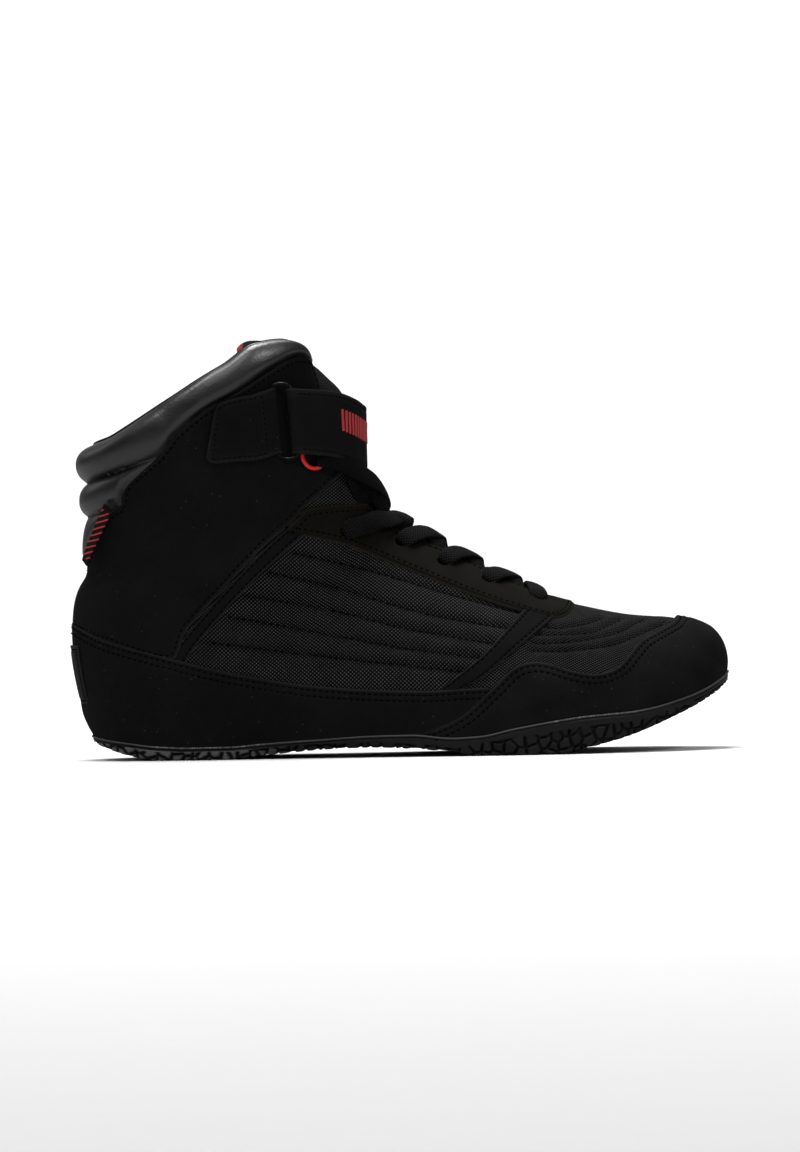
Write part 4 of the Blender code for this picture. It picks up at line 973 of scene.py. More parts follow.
@dataclass
class Upper:
    """Base of the upper: one walled sheet of mesh with quilted sides, open at collar, throat and sole."""

    form: Form
    looks: Looks
    quilts: Repeat
    wall: float = 2.2
    columns: int = 470
    foot_rows: int = 62
    shaft_rows: int = 34
    quilt_depth: float = 1.0
    quilt_width: float = 1.5
    # quilting lines seen from the side
    quarter_lines: tuple[Line, ...] = (
        ((-46.3, 90.2), (-10.1, 81), (24.8, 70.1), (52.6, 62.1)),
        ((-58, 82), (-27.1, 74.3), (10, 62.9), (49.4, 55)),
        ((-68.4, 72), (-31.2, 65), (3.7, 55.9), (40.8, 49)),
        ((-75.7, 62.8), (-39.8, 55.9), (1.7, 47.5), (34.5, 42.9)),
        ((-83.4, 51.4), (-31.6, 44.2), (20.2, 37.8), (27, 36.8)),
    )
    vamp_lines: tuple[Line, ...] = (
        ((64, 55.6), (70.7, 55.4), (81.4, 56.9), (89, 59.2)),
        ((60, 52.6), (68.8, 52.4), (83.6, 53), (90.8, 55.6), (97.4, 58.4)),
        ((58, 48.8), (68.8, 48.9), (82.4, 50.1), (95.5, 52.8), (103.9, 56.6), (108.6, 58)),
        ((56, 45.6), (70.5, 45.3), (83.4, 46.2), (95.4, 48.1), (111.9, 54.4), (117.3, 56.2)),
    )
    eyelets: Line = ((-23.9, 99), (0.4, 93.3), (18.9, 84.2), (38.2, 75.9), (60.5, 67.4))
    eyelet_radius: float = 2.8
    punch_depth: float = 14.0

    def eyelet_spots(self) -> list[tuple[Array, Array]]:
        """Crests and rises of the eyelets on the outer and the inner side."""
        c, s = self.form.locate(np.array(self.eyelets))
        return [(c, s), (4 - c, s)]

    def _quilting(self) -> list[tuple[Array, Array]]:
        """Quilting lines on the form with their outward directions."""
        out = []
        for inner in (False, True):
            for line in self.quarter_lines + self.vamp_lines:
                c, s = self.form.locate(evenly(catmull(line, 8), 1), inner)
                out.append((self.form.at(c, s), self.form.normal(c, s)))
        return out

    def build(self) -> None:
        """Builds the base with its wall, quilting and eyelets."""
        form = self.form
        even = np.linspace(0, 4, 4001)
        run = lengths(form.at(even, 0.45))
        crest = np.interp(np.linspace(0, run[-1], self.columns + 1)[:-1], run, even)
        edge = form.throat_crest
        snap(crest, [value for c in (edge, *form.throat_tip) for value in (c, 4 - c)])
        crest = np.sort(crest)
        foot_s = form.throat_end(crest)[:, None] * np.linspace(0, 1, self.foot_rows + 1)
        shaft_s = 1 + np.linspace(0, 1, self.shaft_rows + 1)[1:]
        points, normals, uvs, index = [], [], [], []
        for c, s, folded in zip(crest, foot_s, form.fold(crest)):
            if folded >= edge - 1e-6:
                s = np.concatenate([s, shaft_s])
            index.append(len(s))
            p = form.at(c, s)
            points.append(p)
            normals.append(form.normal(c, s))
            # the weave is cut under the forefoot strips, and runs square to the foot in front of them
            ahead = p[:, 0] > 16 + 1.22 * (p[:, 2] - 24.5)
            uvs.append(np.stack([p[:, 0], np.where(ahead, p[:, 2] - np.abs(p[:, 1]), form.girth(c, s))], -1))
        outer, facing, uv = (np.concatenate(rows) for rows in (points, normals, uvs))
        quilting = self._quilting()
        away = distance_to(outer, [line for line, _ in quilting])
        puff = ramp(away, 9) ** 0.5
        relief = -self.quilt_depth * bump(away, self.quilt_width) + 0.25 * puff
        faces, borders = self._net(index)
        count, skin = len(outer), len(faces)
        faces += [tuple(count + k for k in reversed(f)) for f in faces]
        faces += [(a, b, count + b, count + a) for a, b in borders]
        shape = np.concatenate([outer + facing * relief[:, None], outer - facing * self.wall])
        pick = [0] * skin + [1] * (len(faces) - skin)
        # painted shade along the quilting troughs and painted highlight on the puffs between them; darker in
        # front of station 55
        tint = 0.2 * puff - 0.5 * bump(away, 0.9) - 0.2 * ramp(outer[:, 0] - 55, 10)
        tint = np.concatenate([tint, 0 * tint])
        finishes = [self.looks["mesh"], self.looks["lining"]]
        obj = make_piece("upper_mesh", (shape, faces), finishes, np.concatenate([uv, uv]), pick, tint=tint)
        self.punch(obj)
        for line, direction in quilting:
            self.quilts.run(line - direction * (self.quilt_depth - 0.2), direction, 3, (1, 0.34, 0.28))
        hold(obj, "textile", "upper")

    @staticmethod
    def _net(index: list[int]) -> tuple[Faces, Faces]:
        """Faces between neighbouring columns of the given lengths, and the open edges that they leave."""
        starts = np.concatenate([[0], np.cumsum(index)])
        faces, borders = [], []
        n = len(index)
        for i in range(n):
            k = (i + 1) % n
            a, b = starts[i], starts[k]
            rows = min(index[i], index[k])
            faces.extend((a + j, a + j + 1, b + j + 1, b + j) for j in range(rows - 1))
            borders += [(a, b), (b + rows - 1, a + rows - 1)]
            borders.extend((a + j, a + j + 1) for j in range(rows - 1, index[i] - 1))
            borders.extend((b + j + 1, b + j) for j in range(rows - 1, index[k] - 1))
        return faces, borders

    def punch(self, obj: Object) -> None:
        """Cuts the eyelets through a closed piece."""
        bm = bmesh.new()
        radius = self.eyelet_radius * MM
        for crests, rises in self.eyelet_spots():
            for c, s in zip(crests, rises):
                place = Matrix.Translation((self.form.at(c, s) + CENTRE) * MM)
                bmesh.ops.create_cone(
                    bm, cap_ends=True, segments=24, radius1=radius, radius2=radius,
                    depth=self.punch_depth * MM, matrix=place @ turn_to(self.form.normal(c, s)),
                )
        mesh = bpy.data.meshes.new("punch")
        bm.to_mesh(mesh)
        bm.free()
        cutter = new_object("punch", mesh)
        change = obj.modifiers.new("punch", "BOOLEAN")
        change.operation, change.solver, change.object = "DIFFERENCE", "MANIFOLD", cutter
        apply_modifier(obj, change)
        bpy.data.objects.remove(cutter)


# Overlays


@dataclass(frozen=True)
class Edge:
    """How a panel's edge is made: thickness, roundness and sewn rows."""

    thick: float
    roll: float = 1.0
    # how far inside the stitched edges the sewn rows run, and how deep their grooves are
    rows: tuple[float, ...] = ()
    groove: float = 0.3
    stitched: tuple[str, ...] = ("high",)
    # height that the panel lies at, width of a thinner lip along its low edge, and strength of cloudy wear
    base: float = 0.0
    lip: float = 0.0
    mottle: float = 0.0
    # thickness at the very edge, depth of the back, and height of the thread over its groove
    thin: float = 0.05
    sunk: float = 0.4
    proud: float = 0.12

    def lift(self, away: Array) -> Array:
        """Height of the panel's face at a distance inside its edge."""
        return self.base + self.thin + (self.thick - self.thin) * rounded(away, self.roll)

    def thread(self) -> float:
        """Height of the thread in a sewn row."""
        return self.base + self.thick - self.groove + self.proud

    def close(self, place: Array, facing: Array, lift: Array) -> Shell:
        """Closed panel between its face and a back sunk a little into what lies under it."""
        return closed_sheet(place + facing * lift[..., None], place + facing * (self.base - self.sunk))


@dataclass
class Overlays:
    """Leather panels sewn over the mesh base."""

    form: Form
    looks: Looks
    seams: Repeat
    upper: Upper
    guard_edge: EdgeLine = EdgeLine((
        (6, 7.6), (10, 10.4), (25.8, 17.6), (38.5, 28.3), (48, 37), (55.3, 39.8), (63.5, 39.2), (73.8, 35.9),
        (84.2, 34.3), (93.5, 36.6), (99.9, 42.7), (105.1, 47.7), (113.5, 51.7), (120.5, 55.2), (123.5, 60),
    ))
    foxing_edge: EdgeLine = EdgeLine((
        (-152, 64.5), (-144.9, 61.3), (-128.8, 53.3), (-101, 45.1), (-79.4, 39.3), (-48.4, 33.1),
        (-21.6, 30.1), (9.5, 28.6), (27.1, 29.2), (38, 29.4), (60, 29.4),
    ))
    ankle_front: EdgeLine = EdgeLine((
        (-152, 62), (-128.8, 52), (-101, 44), (-93.5, 56.8), (-76.6, 75.1), (-57.6, 94.4), (-45, 105.5),
        (-41.8, 109.6), (-32.3, 117.7), (-22, 128),
    ))
    cuff_edge: EdgeLine = EdgeLine((
        (-152, 77), (-139.7, 82.2), (-134.2, 95.9), (-127.8, 107.5), (-121.8, 112.2), (-119.5, 120.4),
        (-113.2, 126.6), (-105.4, 132.8), (-101.6, 137), (-96.4, 143.6), (-83.6, 153.6), (-70.8, 160.2),
        (-55, 170.4), (-44, 176.2), (-34, 172.8),
    ))
    eyestay_low: EdgeLine = EdgeLine((
        (-51.4, 98.4), (-36.8, 96.1), (-20.4, 91.6), (2.2, 81.9), (31, 69.9), (52, 62.6), (66, 58.9),
        (73.5, 60.2), (77.5, 64.9), (79, 72),
    ))
    eyestay_top: EdgeLine = EdgeLine((
        (-51.4, 98.6), (-44.6, 105), (-40.6, 108.9), (-30.4, 110.4), (-9.6, 111.3), (-4, 112.5),
    ))
    strip: tuple[Line, Line] = (
        ((12, 25), (18, 30), (35.7, 43.9), (52.8, 61.8), (56, 65)),
        ((20, 24), (27.3, 29.4), (36.5, 34.6), (51.3, 46.7), (66.2, 58.3), (70, 61.5)),
    )
    edging: tuple[Line, Line] = (
        ((-103, 41), (-98, 50), (-78, 72.6), (-59, 92), (-50, 100)),
        ((-95.8, 41), (-87, 53.3), (-68.8, 73.3), (-49.8, 90.7), (-41.8, 97.5)),
    )
    # strength of the painted highlight along the panels' edges
    wear_and_highlight: float = 1.7
    fine: tuple[float, ...] = (0, 0.1, 0.28, 0.55, 0.9, 1.3, 1.75, 2.2, 2.65, 3.2, 3.9, 4.5, 5.1, 5.8)

    def lay(
        self, name: str, node: str, crest: Array, low: Array, high: Array, edge: Edge, finish: str = "nubuck",
        rows: int = 24, least: float = 0.0, relief: Callable[[Array], Array] | None = None,
    ) -> Object:
        """Builds one panel between two rises of each column.

        Args:
            name: Name of the piece.
            node: The solid that it stands for.
            crest: Columns of the panel.
            low: Rise of its lower edge in each column.
            high: Rise of its upper edge in each column.
            edge: How its edges are made.
            finish: Key of its material.
            rows: Rows between the finely divided edges.
            least: Columns that rise less than this are left out.
            relief: Extra height for each place on the form.
        Returns:
            The object.
        """
        form = self.form
        kept = high - low > least
        crest, low, high = (values[kept, None] for values in (crest, low, high))
        s = low + (high - low) * np.linspace(0, 1, 97)
        run = np.stack([lengths(p) for p in form.at(crest, s)])
        tall, near = run[:, -1:], np.array(self.fine)
        scale = np.minimum(1, tall / (2.3 * near[-1]))
        start, stop = near * scale, tall - near[::-1] * scale
        between = np.linspace(0, 1, rows + 2)[1:-1]
        target = np.concatenate([start, start[:, -1:] + (stop[:, :1] - start[:, -1:]) * between, stop], 1)
        rise = np.stack([np.interp(t, r, q) for t, r, q in zip(target, run, s)])
        place, facing = form.at(crest, rise), form.normal(crest, rise)
        borders = {"low": place[:, 0], "high": place[:, -1], "first": place[0], "last": place[-1]}
        away = distance_to(place, list(borders.values()))
        lift = edge.lift(away)
        # painted highlight along the panel's edges
        wear_and_highlight = self.wear_and_highlight * bump(away - 0.4, 0.5)
        if edge.lip:
            inside = distance_to(place, [borders["low"]]) - edge.lip
            lift = lift - edge.thick * 0.5 / (1 + np.exp(inside / 0.12))
        from_seam = distance_to(place, [borders[key] for key in edge.stitched])
        for d in edge.rows:
            lift = lift - edge.groove * bump(from_seam - d, 0.5)
            wear_and_highlight = wear_and_highlight + 0.3 * bump(from_seam - d, 0.9)
        x, z = place[..., 0], place[..., 2]
        wear_and_highlight = wear_and_highlight + edge.mottle * (1 + np.sin(x / 5.3 + 1.7 * np.sin(z / 6.1)) * np.sin(z / 4.7 + x / 17))
        if relief is not None:
            lift = lift + relief(place) * ramp(away, 4)
        uv = np.stack([x, form.girth(crest, rise)], -1).reshape(-1, 2)
        tint = np.concatenate([wear_and_highlight.ravel(), 0 * wear_and_highlight.ravel()])
        shell = edge.close(place, facing, lift)
        obj = make_piece(name, shell, [self.looks[finish]], np.concatenate([uv, uv]), tint=tint)
        sides = {
            "low": (facing[:, 0], -1), "high": (facing[:, -1], 1),
            "first": (facing[0], 1), "last": (facing[-1], -1),
        }
        for key in edge.stitched:
            for d in edge.rows:
                self.sew(borders[key], *sides[key], d, edge)
        return hold(obj, finish, node)

    def sew(self, border: Array, normal: Array, turn: int, inside: float, edge: Edge) -> None:
        """Runs stitches along a border of a panel, a distance inside it, and leaves its sharp corners out."""
        across = unit(np.cross(normal, unit(np.gradient(border, axis=0)))) * turn
        line = border + across * inside + normal * edge.thread()
        step = unit(np.diff(border, axis=0))
        turns = np.nonzero((step[1:] * step[:-1]).sum(1) < 0.5)[0] + 1
        for part in np.split(np.arange(len(border)), turns):
            part = part[np.abs(part[:, None] - turns).min(1, initial=99) > 3]
            if len(part) > 2:
                self.seams.run(line[part], normal[part])

    def band(
        self, name: str, node: str, edges: tuple[Line, Line], inner: bool, edge: Edge, count: int = 90,
    ) -> None:
        """Builds a narrow nubuck band between two lines seen from the side.

        Args:
            name: Name of the piece.
            node: The solid that it stands for.
            edges: Its two edges.
            inner: Whether it lies on the inner side.
            edge: How its edges are made.
            count: Columns along the band.
        """
        sides = []
        for line in edges:
            fine = catmull(line, 12)
            run = lengths(fine)
            sides.append(read_line(fine, run, np.linspace(0, run[-1], count)))
        width = np.linalg.norm(sides[1] - sides[0], axis=1).mean()
        near = np.array([d for d in self.fine if d < width / 2.2])
        share = np.concatenate([near / width, [0.5], 1 - near[::-1] / width])
        flat = sides[0][:, None] + (sides[1] - sides[0])[:, None] * share[:, None]
        c, s = (values.reshape(flat.shape[:2]) for values in self.form.locate(flat.reshape(-1, 2), inner))
        place, facing = self.form.at(c, s), self.form.normal(c, s)
        away = np.minimum(share, 1 - share) * width
        lift = edge.lift(away)
        for d in edge.rows:
            lift = lift - edge.groove * bump(away - d, 0.5)
        # painted highlight along the band's edges
        wear_and_highlight = np.tile(self.wear_and_highlight * bump(away - 0.4, 0.5), count)
        shell, tint = edge.close(place, facing, lift), np.concatenate([wear_and_highlight, 0 * wear_and_highlight])
        obj = make_piece(name, shell, [self.looks["nubuck"]], tint=tint)
        normal = facing[:, len(share) // 2]
        for d in edge.rows:
            for side in (d / width, 1 - d / width):
                line = np.array([read_line(p, share, side) for p in place])
                self.seams.run(line + normal * edge.thread(), normal)
        hold(obj, "nubuck", node)

    @staticmethod
    def soft_dents(place: Array) -> Array:
        """Slow waves of leather over foam, the fuller toe and heel, and a short wrinkle at the heel."""
        x, y, z = np.moveaxis(place, -1, 0)
        wrinkle = bump(z - 32.4 + 0.26 * (x + 122), 1.3) * bump(x + 122, 5.5) * (y < 0)
        waves = 0.22 * np.sin(x / 9 + 1.3 * np.sin(z / 13)) * np.sin(z / 11 + y / 23)
        toe = 2 * bump(z - 50, 10) * ramp(x - 122, 14)
        heel = 1.4 * bump(z - 21, 8) * ramp(-124 - x, 9)
        return waves + toe + heel - 0.6 * wrinkle

    def _columns(self, first: float, last: float, pitch: float, rise: float) -> Array:
        """Crests about a pitch apart along the form at one rise."""
        even = np.linspace(first, last, 1500)
        run = lengths(self.form.at(even, rise))
        return np.interp(np.linspace(0, run[-1], int(run[-1] / pitch) + 1), run, even)

    def build(self) -> None:
        """Builds all panels."""
        self._ankle()
        edging, strip = Edge(0.95, 0.7, (1.6,)), Edge(1.1, 0.8, (1.8,))
        for side, inner in (("lateral", False), ("medial", True)):
            self.band(f"ankle_band_{side}", f"ankle_edging_{side}", self.edging, inner, edging)
            self.band(f"forefoot_band_{side}", f"forefoot_strip_{side}", self.strip, inner, strip)
        self._foxing()
        self._guard()
        self._eyestay()

    def _foxing(self) -> None:
        """Low band round the heel, under the toe guard's rear ends."""
        form = self.form
        crest = self._columns(0.58, 3.42, 1.3, 0.2)
        high = form.cross(crest, self.foxing_edge.height, 0, 0.9)
        guard = form.cross(crest, lambda x: self.guard_edge.height(x) - 1.2, 0, 0.9)
        under = (form.at(crest, 0.1)[:, 0] > 6) & ~np.isnan(guard)
        low = np.where(under, guard, 0)
        edge = Edge(1.7, 1, (2, 4.6))
        self.lay(
            "heel_band", "heel_foxing", crest, low, high, edge, rows=26, least=0.02, relief=self.soft_dents,
        )

    def _guard(self) -> None:
        """Wrap round the toe, whose edge climbs out of sight in front of the last line point."""
        tip, over = 123.4, 99.0
        crest = np.concatenate([self._columns(3.22, 4, 1.2, 0.3)[:-1] - 4, self._columns(0, 0.8, 1.2, 0.3)])
        high = self.form.cross(crest, lambda x: np.where(x > tip, over, self.guard_edge.height(x)), 0, 1)
        edge = Edge(1.9, 1.1, (2.2, 4.8), mottle=0.25)
        self.lay(
            "toe_wrap", "toe_guard", crest, 0 * high, high, edge, rows=30, least=0.02, relief=self.soft_dents,
        )

    def _ankle(self) -> None:
        """Tall panel round the ankle, from the heel band to the cuff."""
        form, first = self.form, self.form.throat_crest
        crest = self._columns(first, 4 - first, 1.3, 1)
        low = form.cross(crest, self.ankle_front.height, 0, 2)
        high = form.cross(crest, self.cuff_edge.height, 0.9, 2)
        high = np.where(np.isnan(high), 2, high)
        edge = Edge(1.35, 0.9, (2.3,), stitched=("high", "low", "first", "last"))
        self.lay(
            "ankle_side", "ankle_panel", crest, low, high, edge, rows=60, least=0.05, relief=self.soft_dents,
        )

    def _eyestay(self) -> None:
        """Facing that holds the eyelets, joined in front of the throat."""
        form = self.form
        outer = self._columns(0.262, 1.52, 0.9, 0.8)
        snap(outer, form.throat_tip)
        crest = np.mod(np.concatenate([4 - outer[::-1], outer]), 4)
        low = form.cross(crest, self.eyestay_low.height, 0.3, 1.3)
        top = form.cross(crest, self.eyestay_top.height, 0.5, 1.6)
        end, folded = form.throat_end(crest), form.fold(crest)
        high = np.where((folded > 1.02) & ~np.isnan(top), top, end)
        high = np.where((folded > 1.02) & (folded < form.throat_crest), np.minimum(high, end), high)
        edge = Edge(1.5, 0.9, (3,), stitched=("low", "high"), lip=1.5)
        obj = self.lay("lace_facing", "eyestay", crest, low, high, edge, "facing", 14, 0.012)
        self.upper.punch(obj)


# Sole


@dataclass
class Sole:
    """Rubber outsole with a lipped rim, cracked side walls and a blocked tread, and the footbed."""

    form: Form
    looks: Looks
    columns: int = 1760
    wall_rows: int = 27
    lug: float = 1.9
    groove: float = 1.0
    cell: float = 4.9
    seed: int = 11
    # station behind which the cracks keep to the lower edge
    cracked: float = 24.0
    insole_thick: float = 4.0
    # station, and how far the rim stands out
    margins: Table = ((-136, 2.8), (-112, 2.2), (-60, 1.9), (0, 2.2), (40, 2.8), (100, 2.8), (144, 2.7))
    # how far each line of the rim stands out or inside the rim's edge, and its drop
    rim_inside: Table = ((0.55, -0.55), (0.75, -0.15), (1.1, 0))
    rim_edge: Table = (
        (0.45, 0), (0.12, -0.12), (0, -0.45), (0.12, -0.85), (0.5, -1.1),
        (0.75, -1.35), (0.72, -1.6), (0.5, -1.9),
    )
    # how far each line of the underside lies inside the rim's edge, and above the tread
    underside: Table = (
        (0.95, 0.22), (1.35, 0.05), (1.9, 0), (4, 0), (6.5, 0), (9, 0), (9.9, 0.12),
        (10.3, 1.5), (11.3, 1.5), (11.7, 0.9),
    )

    def _columns(self, count: int) -> tuple[Array, Array, Array]:
        """Meridians, outline and arc of evenly spaced columns."""
        dense = self.form.u_of(np.linspace(0, 4, 6001))
        run = lengths(self.form.foot(dense)[:, :2])
        arc = np.linspace(0, run[-1], count + 1)[:-1]
        u = np.interp(arc, run, dense)
        return u, self.form.foot(u), arc

    def _ring(self, u: Array, start: Array, margin: Array | float, height: Array | float) -> Array:
        """One line round the sole, moved out by a margin."""
        p = start + self.form.outward(u) * np.broadcast_to(margin, len(u))[:, None]
        p[:, 2] = height
        return p

    def _cracks(self, arc: Array, down: tuple[Array, Array], x: Array) -> tuple[Array, Array]:
        """Cracked grooves of the side wall.

        Args:
            arc: Distance round the sole.
            down: Distance below the rim, and above the tread, for each wall point.
            x: Station of each column.
        Returns:
            Depth of each wall point, and its tint, with painted shade in the grooves.
        """
        below, above = down
        random = np.random.default_rng(self.seed)
        ways = np.arange(0, arc[-1] + self.cell, self.cell), np.arange(0, 22, self.cell)
        grid = np.stack(np.meshgrid(*ways), -1).reshape(-1, 2)
        seeds = grid + random.uniform(-0.42, 0.42, grid.shape) * self.cell
        shades = random.uniform(-0.35, 0.2, len(seeds))
        tree = search_tree(seeds)
        depth, tone = np.zeros(below.shape), np.zeros(below.shape)
        low = below[:, 0] + above[:, 0] - np.interp(x, [-140, -60, -20, 20], [4.4, 3.6, 2.4, 2.4])
        fore, heel = ramp(x - self.cracked, 8), ramp(-50 - x, 20)
        band = fore * np.interp(x, [30, 60, 100, 125], [2.6, 4.4, 4.2, 2.6]) + (1 - fore) * low
        reach = ramp(below - band[:, None], 0.7)
        for i, j in np.argwhere(reach > 0):
            (_, one, d1), (_, two, d2) = tree.find_n((arc[i], above[i, j], 0), 2)
            gap = (d2 * d2 - d1 * d1) / (2 * np.linalg.norm(seeds[one] - seeds[two]) + 1e-9)
            depth[i, j] = self.groove * bump(gap, 0.55 + 0.3 * heel[i]) * reach[i, j]
            tone[i, j] = shades[one] * reach[i, j]
        # random tone per block, lighter towards the heel, and painted shade down to near black in the grooves
        return depth, (0.8 + tone + 8.5 * heel[:, None]) * (1 - 0.98 * ramp(depth, 0.6)) - 1

    def build(self) -> None:
        """Builds outsole, tread blocks and footbed."""
        form = self.form
        u, start, arc = self._columns(self.columns)
        x = start[:, 0]
        margin, rim, tread = column(self.margins, x), form.rim(x), form.tread(x)
        rings = [self._ring(u, start, 0.35, form.platform(x))]
        rings += [self._ring(u, start, out, rim + drop) for out, drop in self.rim_inside]
        rings += [self._ring(u, start, margin - inside, rim + drop) for inside, drop in self.rim_edge]
        above_wall = len(rings)
        top, low = (rim - 2.05)[:, None], (tread + 0.55)[:, None]
        height = top + (low - top) * np.linspace(0, 1, self.wall_rows)
        above = height - tread[:, None]
        depth, tone = self._cracks(arc, (rim[:, None] - height, above), x)
        out = margin[:, None] - 0.45 - 0.5 * np.clip(above / -6 + 0.6, 0, 1) - depth
        rings += [self._ring(u, start, *line) for line in zip(out.T, height.T)]
        edge = depth[:, -1]
        deep = ramp(edge, 0.8) * self.lug * 0.8
        for inside, lift in self.underside:
            p = self._ring(u, start, margin - inside - edge * (inside < 2), 0)
            p[:, 2] = form.tread(p[:, 0]) + lift + deep * (inside < 10)
            rings.append(p)
        wear_and_highlight = ramp(-56 - x, 10) * ramp(x + 118, 10)
        wear_and_highlight = np.maximum(wear_and_highlight, 0.6 * ramp(x - 58, 8) * ramp(106 - x, 8))
        speckle = np.random.default_rng(self.seed).uniform(0, 1, len(x)) ** 3
        tint = np.zeros((len(x), len(rings)))
        # painted highlight along the rim's edge with light specks of wear, and painted shade in the groove
        # under it
        tint[:, 5:7] = (4.4 + 22 * wear_and_highlight * speckle)[:, None]
        tint[:, 8:11] = -0.7
        tint[:, above_wall : above_wall + self.wall_rows] = tone
        obj = make_piece("sole_rubber", self._loft(rings), [self.looks["rubber"]], sharp=60, tint=tint)
        hold(obj, "rubber", "outsole")
        hold(self._blocks().build(self.looks["rubber"], 6, False), "rubber")
        self._footbed()

    @staticmethod
    def _loft(rings: list[Array]) -> Shell:
        """Skin over closed rings, with the first and the last one filled from side to side."""
        grid = np.stack(rings, 1)
        n, m = grid.shape[:2]
        faces, half = quads(n, m, loop=True), n // 2
        for row in (0, m - 1):
            spot = [i * m + row for i in range(n)]
            faces.append((spot[0], spot[1], spot[-1]))
            faces += [(spot[i], spot[i + 1], spot[n - i - 1], spot[n - i]) for i in range(1, half - 1)]
            faces.append((spot[half - 1], spot[half], spot[half + 1]))
        return grid.reshape(-1, 3), faces

    def _blocks(self) -> Repeat:
        """Six-sided tread blocks over the middle of the sole."""
        tread, pitch = self.form.tread, 7.4
        u, start, _ = self._columns(400)
        inner = self._ring(u, start, -9.6, 0)[:, :2]
        spots = []
        for row, x in enumerate(np.arange(-132, 140, pitch * 0.87)):
            for y in np.arange(-48, 50, pitch) + (row % 2) * pitch / 2:
                if self._within(inner, x, y) and np.min(np.hypot(*(inner - (x, y)).T)) > 4.2:
                    spots.append((x, y, float(tread(np.array(x))) + 0.92))
        spots = np.array(spots)
        slope = (tread(spots[:, 0] + 1) - tread(spots[:, 0] - 1)) / 2
        one, none = np.ones(len(spots)), np.zeros(len(spots))
        along, facing = (unit(np.stack(parts, -1)) for parts in ([one, none, slope], [slope, none, -one]))
        made = Repeat("tread_blocks", Shape.BLOCK)
        made.add(spots, along, facing, (3.5, 3.5, 0.72))
        return made

    @staticmethod
    def _within(outline: Array, x: float, y: float) -> bool:
        """Whether a point lies inside a closed outline."""
        a, b = outline, np.roll(outline, -1, 0)
        cross = (a[:, 1] > y) != (b[:, 1] > y)
        at = a[:, 0] + (y - a[:, 1]) / np.where(cross, b[:, 1] - a[:, 1], 1) * (b[:, 0] - a[:, 0])
        return bool(np.count_nonzero(cross & (x < at)) % 2)

    def _footbed(self) -> None:
        """Footbed that lies on the sole, with a low cup round its edge."""
        form = self.form
        u, start, _ = self._columns(360)
        top = form.seat + self.insole_thick
        rings = []
        for margin, lift in (
            (-3.4, form.seat), (-3.4, top - 1), (-3.55, top - 0.4), (-3.9, top - 0.08), (-4.5, top),
            (-6.5, top - 0.15), (-10, top - 0.45), (-15, top - 0.6),
        ):
            p = self._ring(u, start, margin, 0)
            p[:, 2] = form.platform(p[:, 0]) + lift
            rings.append(p)
        shell = self._loft(rings)
        hold(make_piece("footbed", shell, [self.looks["footbed"]], shell[0][:, :2]), "footbed", "insole")


# Tongue and cuff


